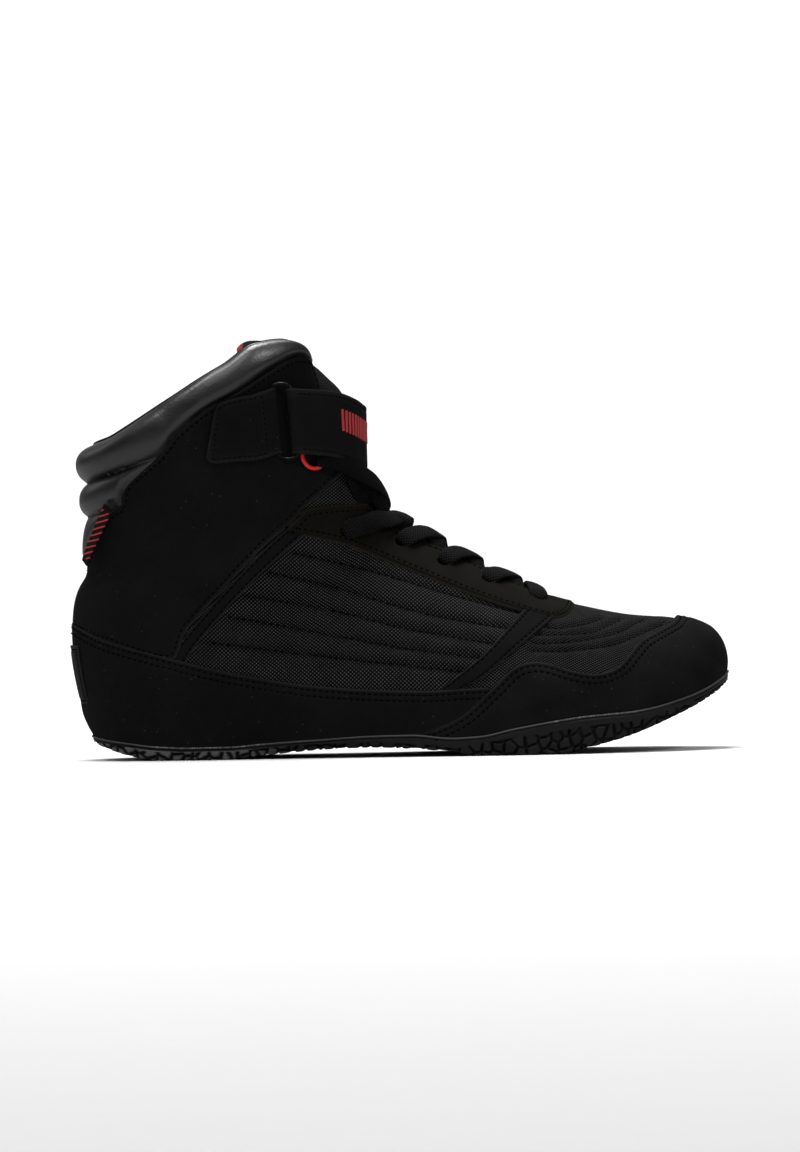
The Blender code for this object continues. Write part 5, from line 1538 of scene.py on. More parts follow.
@dataclass
class Tongue:
    """Padded tongue: under the instep, up the ankle's front, and back over the opening at its top."""

    form: Form
    looks: Looks
    across: int = 33
    # crest, half width, thickness, distance under the form, swell between the facings
    foot_rows: Table = (
        (0.29, 12, 2.4, 3, 0), (0.37, 14.5, 3, 3, 0.5), (0.48, 16, 3.6, 3, 3.4),
        (0.62, 17, 4.2, 3.2, 4), (0.78, 17.5, 4.6, 4, 4.2), (0.90, 17.5, 5, 5.6, 5.6),
    )
    # rise, half angle, thickness, distance under the form, swell between the facings
    shaft_rows: Table = (
        (0.03, 28, 5.2, 6.6, 8), (0.16, 33, 5.4, 5, 6.6), (0.30, 36, 5.5, 4, 4.5),
        (0.45, 36, 5.6, 4, 4), (0.60, 36, 5.8, 4, 3),
    )
    # half width of the swell in millimetres and in degrees
    swell_half: tuple[float, float] = (7, 17)
    # station, height, half width, thickness, bend
    top_rows: Table = (
        (-23, 157.5, 20.5, 5.9, 17.5), (-31, 168.6, 20, 6, 15.5), (-44.5, 178, 20, 6, 11.5),
        (-59.5, 184.8, 18.5, 5.8, 8), (-70.6, 183.4, 16, 5, 5),
    )

    def _rows(self) -> tuple[Array, Array, Array]:
        """Outer face, inward directions and thickness of each row."""
        form = self.form
        shares = np.linspace(-1, 1, self.across)
        t = np.linspace(0.4, 1, 601)
        faces, inward = [], []
        for crest, half, _, inset, swell in self.foot_rows:
            middle = float(form.head(np.array(crest))[1])
            c = np.where(shares <= 0, crest, 4 - crest)
            away = np.abs(form.at(c[:, None], t)[..., 1] - middle)
            k = [min(float(np.interp(-abs(s) * half, -row, t)), 0.997) for s, row in zip(shares, away)]
            n = form.normal(c, k)
            under = inset - swell * bump(shares * half, self.swell_half[0])
            faces.append(form.at(c, k) - n * under[:, None])
            inward.append(-n)
        for rise, half, _, inset, swell in self.shaft_rows:
            angle = -shares * math.radians(half)
            n = form.shaft_normal(angle, rise)
            under = inset - swell * bump(shares * half, self.swell_half[1])
            faces.append(form.shaft(angle, rise) - n * under[:, None])
            inward.append(-n)
        along = unit(np.gradient(np.array([row[:2] for row in self.top_rows]), axis=0))
        for (x, z, half, _, bend), (ax, az) in zip(self.top_rows, along):
            down = np.array([-az, 0, ax])
            flat = np.stack(np.broadcast_arrays(x, form.ring_size[2] + half * shares, z), -1)
            faces.append(flat + down * bend * (shares**2)[:, None])
            inward.append(np.broadcast_to(down, flat.shape))
        thick = [row[2] for row in self.foot_rows + self.shaft_rows] + [row[3] for row in self.top_rows]
        return np.array(faces), np.array(inward), np.array(thick)

    def build(self) -> None:
        """Builds the tongue with its red inner face."""
        faces, inward, thick = self._rows()
        outer, inner, deep = catmull(faces, 7), unit(catmull(inward, 7)), catmull(thick[:, None], 7)
        shares = np.linspace(-1, 1, self.across)
        row = np.linspace(0, 1, len(outer))[:, None]
        soft = np.sqrt(np.clip(1 - np.abs(shares) ** 6, 0, 1))
        soft = soft * np.sqrt(np.clip(1 - 600 * (np.clip(row, 0.96, 1) - 0.96) ** 2, 0.04, 1))
        deep = deep * (1 - 0.45 * np.abs(shares) ** 3)
        ripple = 0.25 * np.sin(row * 85 + 1.5 * np.sin(shares * 2.4)) * (1 - shares**2)
        face = outer + inner * (deep * (1 - soft) * 0.5 - ripple)[..., None]
        back = outer + inner * (deep * (1 + soft) * 0.5)[..., None]
        points, polygons = closed_sheet(face, back)
        run = lengths(outer[:, self.across // 2])
        uv = np.stack(np.broadcast_arrays(run[:, None], shares * 18), -1).reshape(-1, 2)
        n, m = face.shape[:2]
        skin = (n - 1) * (m - 1)
        start, tip = int(0.5 * (n - 1)) * (m - 1), 2 * (m - 1)
        pick = [0] * (skin - tip) + [1] * tip + [0] * start + [1] * (skin - start)
        pick += [1 if max(f) % (n * m) >= (n - 4) * m else 0 for f in polygons[2 * skin :]]
        finishes = [self.looks["tongue"], self.looks["red_mesh"]]
        obj = make_piece("tongue_pad", (points, polygons), finishes, np.concatenate([uv, uv]), pick)
        hold(obj, "tongue_fabric", "tongue", fill=0.6)


@dataclass
class Cuff:
    """Padded leather cuff round the opening, with a top roll and two channels that fade from the heel."""

    form: Form
    looks: Looks
    edge: EdgeLine
    columns: int = 380
    rows: int = 56
    # station and height of each channel at the heel, and how fast it climbs forwards
    channels: Line = ((-137.8, 107.5), (-139.3, 121.7))
    lean: float = 0.334
    rolls: tuple[float, ...] = (2.9, 4.6, 6.4)
    floors: tuple[float, ...] = (0.1, 0.3, 0.6)
    # swell of the band in front, height of its crown, how far the crown closes in
    # and the lining's edge stands up
    front_swell: float = 4.0
    crown: float = 3.6
    close: float = -1.2
    lining_rise: float = 1.6
    # how much lower the crown runs between the heel and the front,
    # and the stations where that starts and ends
    sag: float = 2.5
    sag_span: tuple[float, float] = (-139, -62)

    def build(self) -> None:
        """Builds the cuff as one closed soft roll."""
        form, first = self.form, self.form.throat_crest
        crests = np.linspace(first, 4 - first, self.columns)
        run = lengths(form.at(crests, 1.8))
        end = np.minimum(run, run[-1] - run)
        grid = np.array([self._ring(float(c), float(d)) for c, d in zip(crests, end)])
        n, m = grid.shape[:2]
        shell = capped_tube(grid)
        pick = np.zeros(len(shell[1]), int)
        row = np.arange(m)
        pick[: (n - 1) * m] = np.tile((row >= self.rows + 10) & (row < m - 3), n - 1)
        x, z = grid[..., 0], grid[..., 2]
        deep = sum(bump(z - high - (x - station) * self.lean, 1.1) for station, high in self.channels)
        # painted shade in the channels between the heel rolls, fading out forwards
        tint = -0.85 * deep * ramp(-96 - x, 14)
        finishes = [self.looks["leather"], self.looks["lining"]]
        obj = make_piece("collar_pad", shell, finishes, pick=pick, sharp=80, tint=tint)
        hold(obj, "leather", "collar_cuff", fill=0.7)

    def _ring(self, crest: float, end: float) -> Array:
        """Section of the cuff in one column, a distance from its nearer end."""
        form = self.form
        c = np.array(crest)
        v = np.linspace(0, 1, 401)
        line = form.shaft(form.shaft_angle(c, v), v)
        above = line[:, 2] - self.edge.height(line[:, 0])
        rise = np.linspace(float(v[np.argmax(above > -3.6)]), 1, self.rows)
        angle = form.shaft_angle(c, rise)
        points, facing = form.shaft(angle, rise), form.shaft_normal(angle, rise)
        round_end = max(1 - (1 - min(end / 11, 1)) ** 2, 0.02) ** 0.7
        x = float(points[-1, 0])
        inside = ramp(min(x - self.sag_span[0], self.sag_span[1] - x), 14)
        crown = self.crown - self.sag * eased(inside)
        over = np.sin(np.linspace(0, math.pi / 2, 11)[1:])[:, None] * UP * crown * round_end
        points = np.concatenate([points, points[-1] + over])
        facing = np.concatenate([facing, np.repeat(facing[-1:], len(over), 0)])
        near = float(ramp(-84 - points[self.rows // 2, 0], 40))
        off = self._swell(points, near) * round_end
        off = off + self._creases(points, near) * ramp(off, 3)
        fade = ramp(lengths(points) - 0.6, 4.5 + 5 * near)
        off = -0.7 + (off + 0.7) * np.sin(fade * math.pi / 2)
        outer = points + facing * (0.4 + off)[:, None]
        top = self.rows - 1
        lining = UP * (1 + self.lining_rise * near)
        inside = [outer[-1] - facing[top] + lining * 0.6, points[top] - facing[top] * 2.8 + lining]
        inside += [points[top - k] - facing[top - k] * deep for k, deep in ((3, 3), (9, 2.6))]
        body = catmull(np.concatenate([outer[-1:], inside]), 4)[1:]
        under = [points[top - k] + facing[top - k] * 0.3 for k in (11, 21)] + [points[0] - facing[0] * 0.6]
        return np.concatenate([outer, body, under])

    def _swell(self, points: Array, near: float) -> Array:
        """How far the padding stands off the form: one broad roll in front, three rolls at the heel."""
        x, z = points[:, 0], points[:, 2]
        bounds = [z[0] - 4] + [height + (x - station) * self.lean for station, height in self.channels]
        bounds = [np.broadcast_to(b, x.shape) for b in bounds] + [np.full(x.shape, z[-1] + 0.01)]
        off = np.zeros(x.shape)
        for low, high, tall, floor in zip(bounds, bounds[1:], self.rolls, self.floors):
            middle, half = (low + high) / 2, np.maximum((high - low) / 2, 0.5)
            swell = np.clip(1 - np.abs((z - middle) / half) ** 2.3, 0, 1) ** 0.75
            base = np.where((high > z[-1]) & (z > middle), self.close, floor)
            off = np.where((z >= low) & (z < high), base + (tall - base) * swell, off)
        low = z[0] + 3.6
        peak = low + 0.35 * (z[-1] - low)
        up = ramp(z - peak, z[-1] - peak)
        down = np.clip((peak - z) / (peak - low), 0, 1.2)
        closing = self.close + (self.front_swell - self.close) * np.sqrt(1 - up**2)
        plain = np.where(z > peak, closing, self.front_swell - 3.2 * down**2)
        share = eased(near)
        return plain * (1 - share) + off * share

    @staticmethod
    def _creases(points: Array, near: float) -> Array:
        """Soft dents where the leather bends, and a slow waviness."""
        x, y, z = points[:, 0], points[:, 1], points[:, 2]
        wave = np.sin(x / 8.5 + y / 9 + 0.9 * np.sin(z / 9)) * 0.2
        dent = -0.5 * bump(x + 98 + (z - 150) * 0.5, 7) * bump(z - 152, 10)
        return wave * (0.5 + 0.5 * near) + dent


# Strap


@dataclass
class Ribbon:
    """A band along a path, with a direction across it at each point."""

    path: Array
    span: Array
    section: Array
    wide: Array | float = 1.0
    square: bool = True
    sink: Array | float = 0.0

    def frame(self) -> tuple[Array, Array, Array]:
        """Directions along, across and out at each point."""
        tangent = unit(np.gradient(self.path, axis=0))
        span = unit(self.span - tangent * (self.span * tangent).sum(1, keepdims=True) * self.square)
        return tangent, span, unit(np.cross(tangent, span))

    def mesh(self) -> tuple[Shell, Array]:
        """Skin of the band, and pattern coordinates along and across."""
        _, span, out = self.frame()
        count = len(self.path)
        flat, tall = self.section.T
        across = flat * np.broadcast_to(self.wide, count)[:, None]
        high = tall - np.broadcast_to(self.sink, count)[:, None] * (tall > 0)
        rings = self.path[:, None] + span[:, None] * across[..., None] + out[:, None] * high[..., None]
        uv = np.stack(np.broadcast_arrays(lengths(self.path)[:, None], across), -1).reshape(-1, 2)
        return capped_tube(rings), uv

    def wear_and_highlight(self, most: float, row: float) -> Array:
        """Tint of each point of the mesh: painted highlight along the outer edges, and lighter along a sewn
        row.
        """
        away = np.abs(self.section[:, 0]).max() - np.abs(self.section[:, 0])
        return np.tile(most * bump(away - 0.5, 0.6) + 0.5 * bump(away - row, 0.8), len(self.path))

    def line(self, across: Array | float, out: float, part: slice = slice(None)) -> tuple[Array, Array]:
        """Points along the band at a distance across and out, with their outward directions."""
        _, span, facing = self.frame()
        shift = span * np.broadcast_to(across, len(self.path))[:, None]
        return (self.path + shift + facing * out)[part], facing[part]


@dataclass
class Strap:
    """Ankle strap doubled back through a wire ring, and the sewn tab that holds the ring."""

    form: Form
    looks: Looks
    seams: Repeat
    width: float = 28.8
    thick: float = 1.3
    wire_radius: float = 0.75
    gap: float = 0.3
    sewn: float = 2.2
    # angle from the front, height and distance off the form, down the strap's middle
    stops: Table = (
        (52.7, 147.6, 3.8), (46, 147.2, 5.8), (36, 146.2, 6.6), (24, 143.6, 5.8), (12, 141.2, 5),
        (0, 140, 4.9), (-12, 141.2, 5), (-24, 143.6, 5.8), (-36, 145.6, 6.6), (-50, 146, 5.6),
        (-62, 146, 3.2), (-74, 146, 2.6),
    )
    # angle, height, width, lift and forward lean of the tab, from the ring to its rear edge
    tab: Table = (
        (71.5, 145.2, 29, 1.5, -0.06), (76.5, 144.8, 28.6, 0.9, 0), (83, 143.9, 28, 0.7, 0.08),
        (90.5, 142.6, 27, 0.7, 0.2),
    )
    tab_thick: float = 1.5
    tab_seam: float = 24.0
    # how far the strap's rear end leans back towards its top
    slant: float = 0.13
    ring_wide: float = 8.6
    ring_more: float = 2.2
    # red marks: their number, where they start, their distance and their lean
    bars: int = 15
    bar_start: float = 22.4
    bar_pitch: float = 2.5
    bar_lean: float = 0.28
    # pitch and half sizes of the stitches
    stitch: tuple[float, tuple[float, ...]] = (2.3, (0.8, 0.36, 0.24))

    def build(self) -> None:
        """Builds strap, marks, ring and tab."""
        table = np.array(self.stops)
        fine = np.linspace(table[0, 0], table[-1, 0], 64)
        height, off = (pchip(-table[:, 0], table[:, k], -fine) for k in (1, 2))
        frames = [self.form.shaft_point(*row, 0) for row in zip(fine, height, off)]
        middle = np.array([p for p, _ in frames])
        facing = np.array([n for _, n in frames])
        along = unit(np.gradient(middle, axis=0))
        span = unit(np.cross(facing, along))
        loop = self.wire_radius + 0.45 + self.thick
        bar = middle[0] - along[0] * 1.5 + facing[0] * loop
        self._band(middle, facing, along, span, bar, loop)
        lean = unit(span[0] - along[0] * self.slant)
        rear = self._ring(bar, along[0], facing[0], lean)
        self._tab(rear, along[0], facing[0], lean)

    def _band(self, middle: Array, facing: Array, along: Array, span: Array, bar: Array, loop: float) -> None:
        """The strap's two layers, joined round the ring, with sewn rows and red marks."""
        half = self.thick / 2
        lie = 2 * self.thick + self.gap
        run = lengths(middle)
        lift = lie + (2 * loop - lie) * np.clip(1 - run / 11, 0, 1) ** 2
        turns = np.linspace(0, math.pi, 15)[1:-1, None]
        turn = bar - (along[0] * np.sin(turns) + facing[0] * np.cos(turns)) * (loop - half)
        over = middle + facing * (lift - half)[:, None]
        stop = len(middle) - 9
        path = np.concatenate([middle[::-1] + facing[::-1] * half, turn, over[:stop]])
        slant = span - along * (self.slant * np.clip(1 - run / 24, 0, 1))[:, None]
        spans = np.concatenate([slant[::-1], np.repeat(slant[:1], len(turn), 0), slant[:stop]])
        band = Ribbon(path, spans, soft_section(self.width, self.thick, 0.12, 17, self.sewn), square=False)
        shell, uv = band.mesh()
        # painted highlight along the strap's edges, lighter along its sewn rows
        tint = band.wear_and_highlight(0.9, self.sewn)
        obj = make_piece("ankle_strap", shell, [self.looks["webbing"]], uv, sharp=70, tint=tint)
        hold(obj, "webbing", "strap")
        outer = slice(len(path) - stop, None)
        for across in (self.width / 2 - self.sewn, self.sewn - self.width / 2):
            self.seams.run(*band.line(across, half - 0.25, outer), *self.stitch)
        place, out = band.line(2.8, half + 0.02, outer)
        tangent, across, _ = (v[outer] for v in band.frame())
        at = self.bar_start + np.arange(self.bars) * self.bar_pitch
        spot, way, up, out = (read_line(v, lengths(place), at) for v in (place, tangent, across, out))
        marks = Repeat("strap_marks", Shape.BAR)
        marks.add(spot, unit(up - way * self.bar_lean), unit(out), (4.8, 0.72, 0.1))
        hold(marks.build(self.looks["red_print"], 4, False), "webbing")

    def _ring(self, bar: Array, along: Array, facing: Array, span: Array) -> Array:
        """Wire ring between strap and tab; returns the middle of its rear bar."""
        rear = bar - along * self.ring_wide - facing * 1.9
        tall, corner = self.width / 2 + self.ring_more, 3.2
        middle, side = (bar + rear) / 2, (bar - rear) / 2
        w = np.linspace(0, math.pi, 17)[:, None]
        up, down = (
            middle + side * np.cos(w) * sign + span * sign * (tall - corner + corner * np.sin(w))
            for sign in (1, -1)
        )
        straight = [np.linspace(a, b, 12)[1:-1] for a, b in ((up[-1], down[0]), (down[-1], up[0]))]
        shell = wire(np.concatenate([up, straight[0], down, straight[1]]), self.wire_radius)
        hold(make_piece("steel_ring", shell, [self.looks["wire"]]), "wire", "strap_ring")
        return rear

    def _tab(self, bar: Array, along: Array, facing: Array, span: Array) -> None:
        """Sewn tab whose front edge folds round the ring."""
        thick = self.tab_thick
        table = np.array(self.tab)[::-1]
        frames = [self.form.shaft_point(a, h, 1.4 + lift + thick / 2, 1) for a, h, _, lift, _ in table]
        flat, normal = (np.array(values) for values in zip(*frames))
        turns = np.linspace(-math.pi / 2, math.pi * 0.62, 13)[1:, None]
        fold = bar + (np.cos(turns) * along - np.sin(turns) * facing) * (self.wire_radius + 0.1 + thick / 2)
        rough = np.concatenate([flat, fold])
        path = evenly(catmull(rough, 6), 0.5)
        run = lengths(path)
        up = UP - normal * normal[:, 2:]
        level = unit(np.cross(up, normal))
        level = level * np.sign((level * along).sum(1, keepdims=True))
        up = unit(up) + level * table[:, 4:]
        up = np.concatenate([up, np.repeat(span[None] * np.sign(span[2]), len(fold), 0)])
        where, at = lengths(rough) / lengths(rough)[-1], run / run[-1]
        width = np.interp(at, where, np.concatenate([table[:, 2], np.full(len(fold), 29)]))
        width = width - 9 * (1 - rounded(run, 4.5))
        section = soft_section(28, thick, 0, 15, 2)
        rows = bump(run - 2, 0.5) + bump(run - self.tab_seam, 0.5)
        tab = Ribbon(path, read_line(up, where, at), section, width / 28, False, 0.3 * rows)
        shell, uv = tab.mesh()
        # painted highlight along the tab's edges and its rear edge, lighter along its sewn rows
        wear_and_highlight = tab.wear_and_highlight(1.2, 2) + np.repeat(1.2 * bump(run - 0.5, 0.6) + 0.5 * rows, len(section))
        tint = np.clip(wear_and_highlight, -0.8, 1.2)
        obj = make_piece("ring_tab", shell, [self.looks["nubuck"]], uv, sharp=70, tint=tint)
        hold(obj, "nubuck", "strap_tab")
        high = thick / 2 - 0.25
        flat_part = slice(4, int(np.argmax(run > self.tab_seam)))
        for sign in (1, -1):
            self.seams.run(*tab.line(sign * (width / 2 - 2), high, flat_part), *self.stitch)
        _, across, out = tab.frame()
        for k in (int(np.argmax(run > at)) for at in (2, self.tab_seam)):
            row = np.linspace(-1, 1, 24)[:, None] * (width[k] / 2 - 2.2)
            line = path[k] + across[k] * row + out[k] * high
            self.seams.run(line, np.repeat(out[k : k + 1], 24, 0), *self.stitch)


# Heel trim


@dataclass
class HeelTrim:
    """Bare patch with a raised border at the back, and a narrow woven ribbon at the side."""

    form: Form
    looks: Looks
    overlays: Overlays
    patch_heights: tuple[float, float] = (25.4, 51.3)
    patch_half: float = 13.5
    ribbon: Line = ((-127.5, 112), (-131.5, 103.5), (-136, 95), (-139, 87.5))
    ribbon_off: float = 5.45

    def build(self) -> None:
        """Builds patch and ribbon."""
        form = self.form
        crest = np.linspace(1.75, 2.25, 801)
        crest = crest[np.abs(form.at(crest, 0.3)[:, 1]) < self.patch_half][::4]
        low, high = (form.cross(crest, lambda x, h=h: h, 0, 0.95) for h in self.patch_heights)
        edge = Edge(0.9, 0.6, (1.9,), groove=0.5, stitched=("low", "high", "first", "last"), base=1.6)
        self.overlays.lay("back_patch", "heel_patch", crest, low, high, edge, "patch")
        stops = []
        for x, z in catmull(self.ribbon, 8)[::4]:
            spots = [form.shaft_point(angle, z, self.ribbon_off) for angle in np.linspace(100, 178, 157)]
            stops.append(min(spots, key=lambda spot: abs(spot[0][0] - x)))
        path, outs = (catmull(values, 8) for values in zip(*stops))
        spans = np.cross(unit(outs), unit(np.gradient(path, axis=0)))
        section = soft_section(5.4, 0.8)
        shell, uv = Ribbon(path, spans, section).mesh()
        run = lengths(path)
        # painted shade at the ribbon's two ends
        ends = np.repeat(-ramp(2.8 - np.minimum(run, run[-1] - run), 0.6), len(section))
        obj = make_piece("side_ribbon", shell, [self.looks["ribbon"]], uv, tint=ends)
        hold(obj, "woven_label", "heel_label")


# Lacing


@dataclass
class Lacing:
    """Flat woven lace through the eyelets, with its top run through two red rings."""

    form: Form
    looks: Looks
    upper: Upper
    width: float = 9.0
    thick: float = 1.8
    lean: tuple[float, ...] = (0.68, 0.68, 0.64, 0.54)
    corner: tuple[float, float] = (0.99, 0.93)
    ring: tuple[float, float, float] = (48.5, 132.2, 5.6)
    wire_radius: float = 0.9
    # heights of a run's first stops, up through its eyelet
    entry: tuple[float, ...] = (-4.2, -1.4, 1)
    # height at which a run leaves its eyelet
    low: float = 2.5
    # angle, height and distance off the form of the top run
    top_run: Table = (
        (47, 131.6, 1.6), (42.5, 130.6, 3.4), (37, 128.6, 3.6), (31, 126.2, 3.4), (24, 123.4, 2.9),
        (12, 119.2, 2.8), (0, 114.2, 3), (-9, 111.2, 2.6), (-17, 108.6, 0.6),
    )
    # station and height of a short run under it
    riser: Line = ((-14, 107), (-13.8, 111.5), (-14.6, 116), (-15.6, 121))

    def build(self) -> None:
        """Builds the runs of lace and the rings."""
        (outer, rise), _ = self.upper.eyelet_spots()
        order = np.argsort(outer)
        self._edge = lambda c: float(np.interp(c, outer[order], rise[order]))
        sides = ((1, 3.6), (-1, 2.4))
        for k, lean in enumerate(self.lean):
            far = outer[k] + (outer[k + 1] - outer[k]) * lean
            if k:
                runs = [self._run(outer[k], far, sign, high) for sign, high in sides]
            else:
                runs = [self._corner(outer[k], sign, high) for sign, high in sides]
            self._join(f"lace_run_{k + 1}", runs, f"lace_crossing_{k + 1}")
        tops = [self._top(1, 1.2), self._top(-1, 0), self._riser(False), self._riser(True)]
        # the top run gets painted shade
        self._join("lace_run_top", tops, "lace_crossing_top", -0.4)
        self._join("lace_run_bar", [self._bar(outer[-1])], "lace_bar")
        self._rings()

    def _join(self, name: str, runs: list[Ribbon], node: str, tint: float = 0.0) -> None:
        """Makes one piece of some runs, lighter or darker than the rest by a tint."""
        points, faces, uvs, first = [], [], [], 0
        for run in runs:
            (p, f), uv = run.mesh()
            points.append(p)
            uvs.append(uv)
            faces += [tuple(first + k for k in face) for face in f]
            first += len(p)
        shell, tints = (np.concatenate(points), faces), np.full(first, tint)
        obj = make_piece(name, shell, [self.looks["lace"]], np.concatenate(uvs), sharp=75, tint=tints)
        hold(obj, "lace", node)

    def _over(self, crest: float, reach: float, lift: float) -> tuple[Array, Array]:
        """Point above the instep; reach runs from -1 at the outer eyelets to 1 at the inner ones."""
        c = crest if reach <= 0 else 4 - crest
        t = 1 - abs(reach) * (1 - self._edge(crest))
        n = self.form.normal(c, min(t, 0.997))
        return self.form.at(c, t) + n * lift, n

    def _ribbon(self, stops: list[tuple[Array, Array]], holes: int) -> Ribbon:
        """A run through stops that narrows at its start, or at both ends, where it enters a hole."""
        places, facing = (np.array(values) for values in zip(*stops))
        path, face = catmull(places, 6), unit(catmull(facing, 6))
        spans = unit(np.cross(face, np.gradient(path, axis=0)))
        run, wide = lengths(path), np.ones(len(path))
        if holes:
            start = unit(np.cross(face[0], places[min(5, len(places) - 1)] - places[1]))
            blend = ramp(run, 9)[:, None]
            spans = spans * blend + start * (1 - blend)
            wide = self._flare(run)
        if holes > 1:
            wide = np.minimum(wide, self._flare(run[-1] - run))
        return Ribbon(path, unit(spans), soft_section(self.width, self.thick, -0.4, 11), wide)

    @staticmethod
    def _flare(run: Array) -> Array:
        """Share of the lace's width at a distance from its end in a hole."""
        return 0.4 + 0.6 * rounded(run - 3.2, 6.5)

    def _run(self, start: float, far: float, sign: int, high: float) -> Ribbon:
        """One run from an eyelet over the throat and under the far facing."""
        way = far - start
        stops = [self._over(start + way * 0.05, -0.93 * sign, lift) for lift in self.entry]
        for f in (0.14, 0.27, 0.4, 0.55, 0.7, 0.85, 1):
            lift = self.low + (high - self.low) * math.sin(min(f / 0.8, 1) * math.pi / 2)
            stops.append(self._over(start + way * f, sign * (-1 + 1.16 * f), lift))
        for f, drop in ((1.15, 0.55), (1.3, 1.2)):
            stops.append(self._over(start + way * f, sign * (-1 + 1.16 * f), high - 2.6 * drop))
        return self._ribbon(stops, 1)

    def _corner(self, start: float, sign: int, high: float) -> Ribbon:
        """The run from the eyelet nearest the ankle, over the turn of the instep."""
        edge = self._edge(start)
        last, far = self.corner
        end = float(self.form.throat_end(np.array([last]))[0])
        stops = [self._over(start, -sign, lift) for lift in self.entry]
        for f in (0.14, 0.4, 0.7, 1):
            c, t = start + (last - start) * f, edge + (end - edge) * f
            c = c if sign > 0 else 4 - c
            n = self.form.normal(c, t)
            stops.append((self.form.at(c, t) + n * (self.low + (high - self.low) * f), n))
        for back, reach, drop in ((0, 0.12, 0), (0.01, 0.36, 1.4), (0.02, 0.52, 3.6)):
            stops.append(self._over(far - back, sign * reach, high - drop))
        return self._ribbon(stops, 1)

    def _top(self, sign: int, high: float) -> Ribbon:
        """The run over the front of the ankle."""
        stops = [self.form.shaft_point(sign * a, h, off + high, 0.9) for a, h, off in self.top_run]
        return self._ribbon(stops, 0)

    def _riser(self, inner: bool) -> Ribbon:
        """Short run that comes up from behind the facing, under the top run."""
        c, s = self.form.locate(evenly(np.array(self.riser), 3), inner)
        n = self.form.normal(c, s)
        lift = np.linspace(-2, 2.4, len(c))[:, None]
        return self._ribbon(list(zip(self.form.at(c, s) + n * lift, n)), 0)

    def _bar(self, crest: float) -> Ribbon:
        """Straight run between the two eyelets nearest the toe."""
        stops = [self._over(crest, -1, lift) for lift in self.entry]
        reaches = np.linspace(-0.82, 0.82, 7)
        stops += [self._over(crest, reach, self.low + 0.5 * (1 - abs(reach))) for reach in reaches]
        stops += [self._over(crest, 1, lift) for lift in reversed(self.entry)]
        return self._ribbon(stops, 2)

    def _rings(self) -> None:
        """Red rings under the strap."""
        angle, height, radius = self.ring
        w = np.linspace(0, 2 * math.pi, 49)[:-1, None]
        for side, sign in (("lateral", 1), ("medial", -1)):
            p, n = self.form.shaft_point(sign * angle, height, 2.7, 1)
            east = unit(np.cross(n, UP))
            north = np.cross(east, n)
            shell = wire(p + (east * np.cos(w) + north * np.sin(w)) * radius, self.wire_radius)
            obj = make_piece(f"red_ring_{side}", shell, [self.looks["red_gloss"]])
            hold(obj, "red_ring", f"lace_ring_{side}")


# Studio


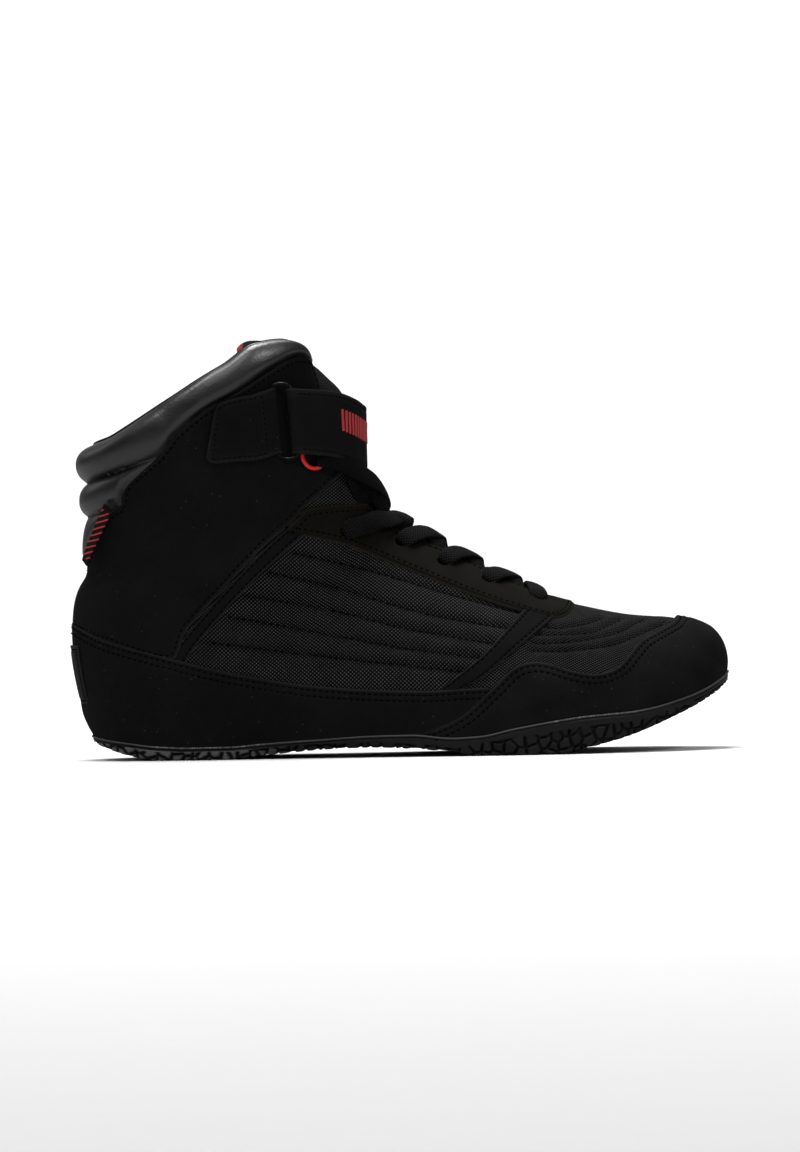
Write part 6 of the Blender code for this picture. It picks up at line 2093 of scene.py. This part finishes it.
@dataclass
class Studio:
    """Pale floor, soft light and a long lens from the side."""

    image: tuple[int, int] = (800, 1152)
    mm_per_pixel: float = 0.4438
    roll_deg: float = 1.11
    aim: tuple[float, float, float] = (0.49, 0, 79.05)
    distance: float = 2.6
    sensor: float = 36.0
    fill_light: float = 0.08
    # half width, depth, height and sweep of the floor
    floor: tuple[float, ...] = (6, 5, 5, 1.5)
    # where the floor starts to sweep up
    sweep_from: float = 3.0

    def build(self) -> None:
        """Makes camera, floor and lights."""
        lens = bpy.data.cameras.new("camera")
        lens.sensor_width = self.sensor
        lens.lens = self.sensor * self.distance / (self.image[1] * self.mm_per_pixel * MM)
        camera = new_object("camera", lens)
        a = math.radians(self.roll_deg)
        x, _, z = (v * MM for v in self.aim)
        camera.matrix_world = Matrix((
            (math.cos(a), math.sin(a), 0, x),
            (0, 0, -1, -self.distance),
            (-math.sin(a), math.cos(a), 0, z),
            (0, 0, 0, 1),
        ))
        bpy.context.scene.camera = camera
        self._floor()
        for name, place, aim, size, power in (
            ("overhead", (-0.2, 0.1, 2.3), (0, 0, 0.05), 0.9, 42),
            ("front", (-0.5, -1.9, 2.1), (0, -1, 0), 0.6, 9),
            ("left", (-1.15, -0.55, 2.3), (-0.05, 0, 0.12), 0.5, 15),
            ("right", (1.2, -1.6, 1.7), (0, 0, 0.1), 0.45, 13),
            ("rear", (-1.5, 0.8, 0.9), (-0.05, 0, 0.12), 0.9, 1.5),
            ("backdrop", (0, 1.6, 3.4), (0, 4.2, 0.9), 2.6, 130),
        ):
            data = bpy.data.lights.new(name, "AREA")
            data.shape, data.size, data.energy = "DISK", size, power
            lamp = new_object(name, data)
            lamp.matrix_world = Matrix.Translation(place) @ turn_to(np.array(place) - np.array(aim))
        world = bpy.data.worlds.new("studio")
        world.use_nodes = True
        tree = world.node_tree
        sky = tree.nodes["Background"]
        sky.inputs[0].default_value = (1, 1, 1, 1)
        seen = add_node(tree, "ShaderNodeLightPath").outputs["Is Camera Ray"]
        tree.links.new(remap(tree, seen, 0, 1, self.fill_light, 1), sky.inputs[1])
        bpy.context.scene.world = world
        bpy.context.scene.view_settings.view_transform = "Standard"

    def _floor(self) -> None:
        """Seamless pale floor that sweeps up behind, and that gloss mirrors darker than it is."""
        half, front, tall, sweep = self.floor
        profile = [(-front, 0)]
        for w in np.linspace(0, math.pi / 2, 17):
            profile.append((self.sweep_from + sweep * math.sin(w), sweep - sweep * math.cos(w)))
        profile.append((self.sweep_from + sweep, tall))
        points = np.array([(x, y, z) for x in (-half, half) for y, z in profile]) / MM
        n = len(profile)
        faces = [(i, i + 1, n + i + 1, n + i) for i in range(n - 1)]
        paper = Finish("seamless_paper", "#f4f4f4", "#f8f8f8", 0.9, Pattern.SMOOTH, 4, 0.01, 0.1).material()
        tree = paper.node_tree
        mirrored = add_node(tree, "ShaderNodeLightPath").outputs["Is Glossy Ray"]
        dark = add_node(tree, "ShaderNodeBsdfDiffuse", None, {0: (0, 0, 0, 1)}).outputs[0]
        out = tree.nodes["Material Output"].inputs["Surface"]
        mix = {0: remap(tree, mirrored, 0, 1, 0, 0.7), 1: out.links[0].from_socket, 2: dark}
        tree.links.new(add_node(tree, "ShaderNodeMixShader", None, mix).outputs[0], out)
        make_piece("floor", (points - CENTRE, faces), [paper])


def main() -> None:
    """Builds the shoe's looks piece by piece."""
    logging.basicConfig(level=logging.INFO, format="%(name)s %(message)s")
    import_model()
    Studio().build()
    form = Form()
    looks = Finishes().build()
    seams = Repeat("stitches", Shape.STITCH)
    quilts = Repeat("quilt_stitches", Shape.STITCH)
    upper = Upper(form, looks, quilts)
    upper.build()
    overlays = Overlays(form, looks, seams, upper)
    overlays.build()
    Sole(form, looks).build()
    Tongue(form, looks).build()
    Cuff(form, looks, overlays.cuff_edge).build()
    HeelTrim(form, looks, overlays).build()
    Strap(form, looks, seams).build()
    Lacing(form, looks, upper).build()
    hold(seams.build(looks["thread"], 6, True), "nubuck")
    hold(quilts.build(looks["dark_thread"], 6, True), "textile")


if __name__ == "__main__":
    main()
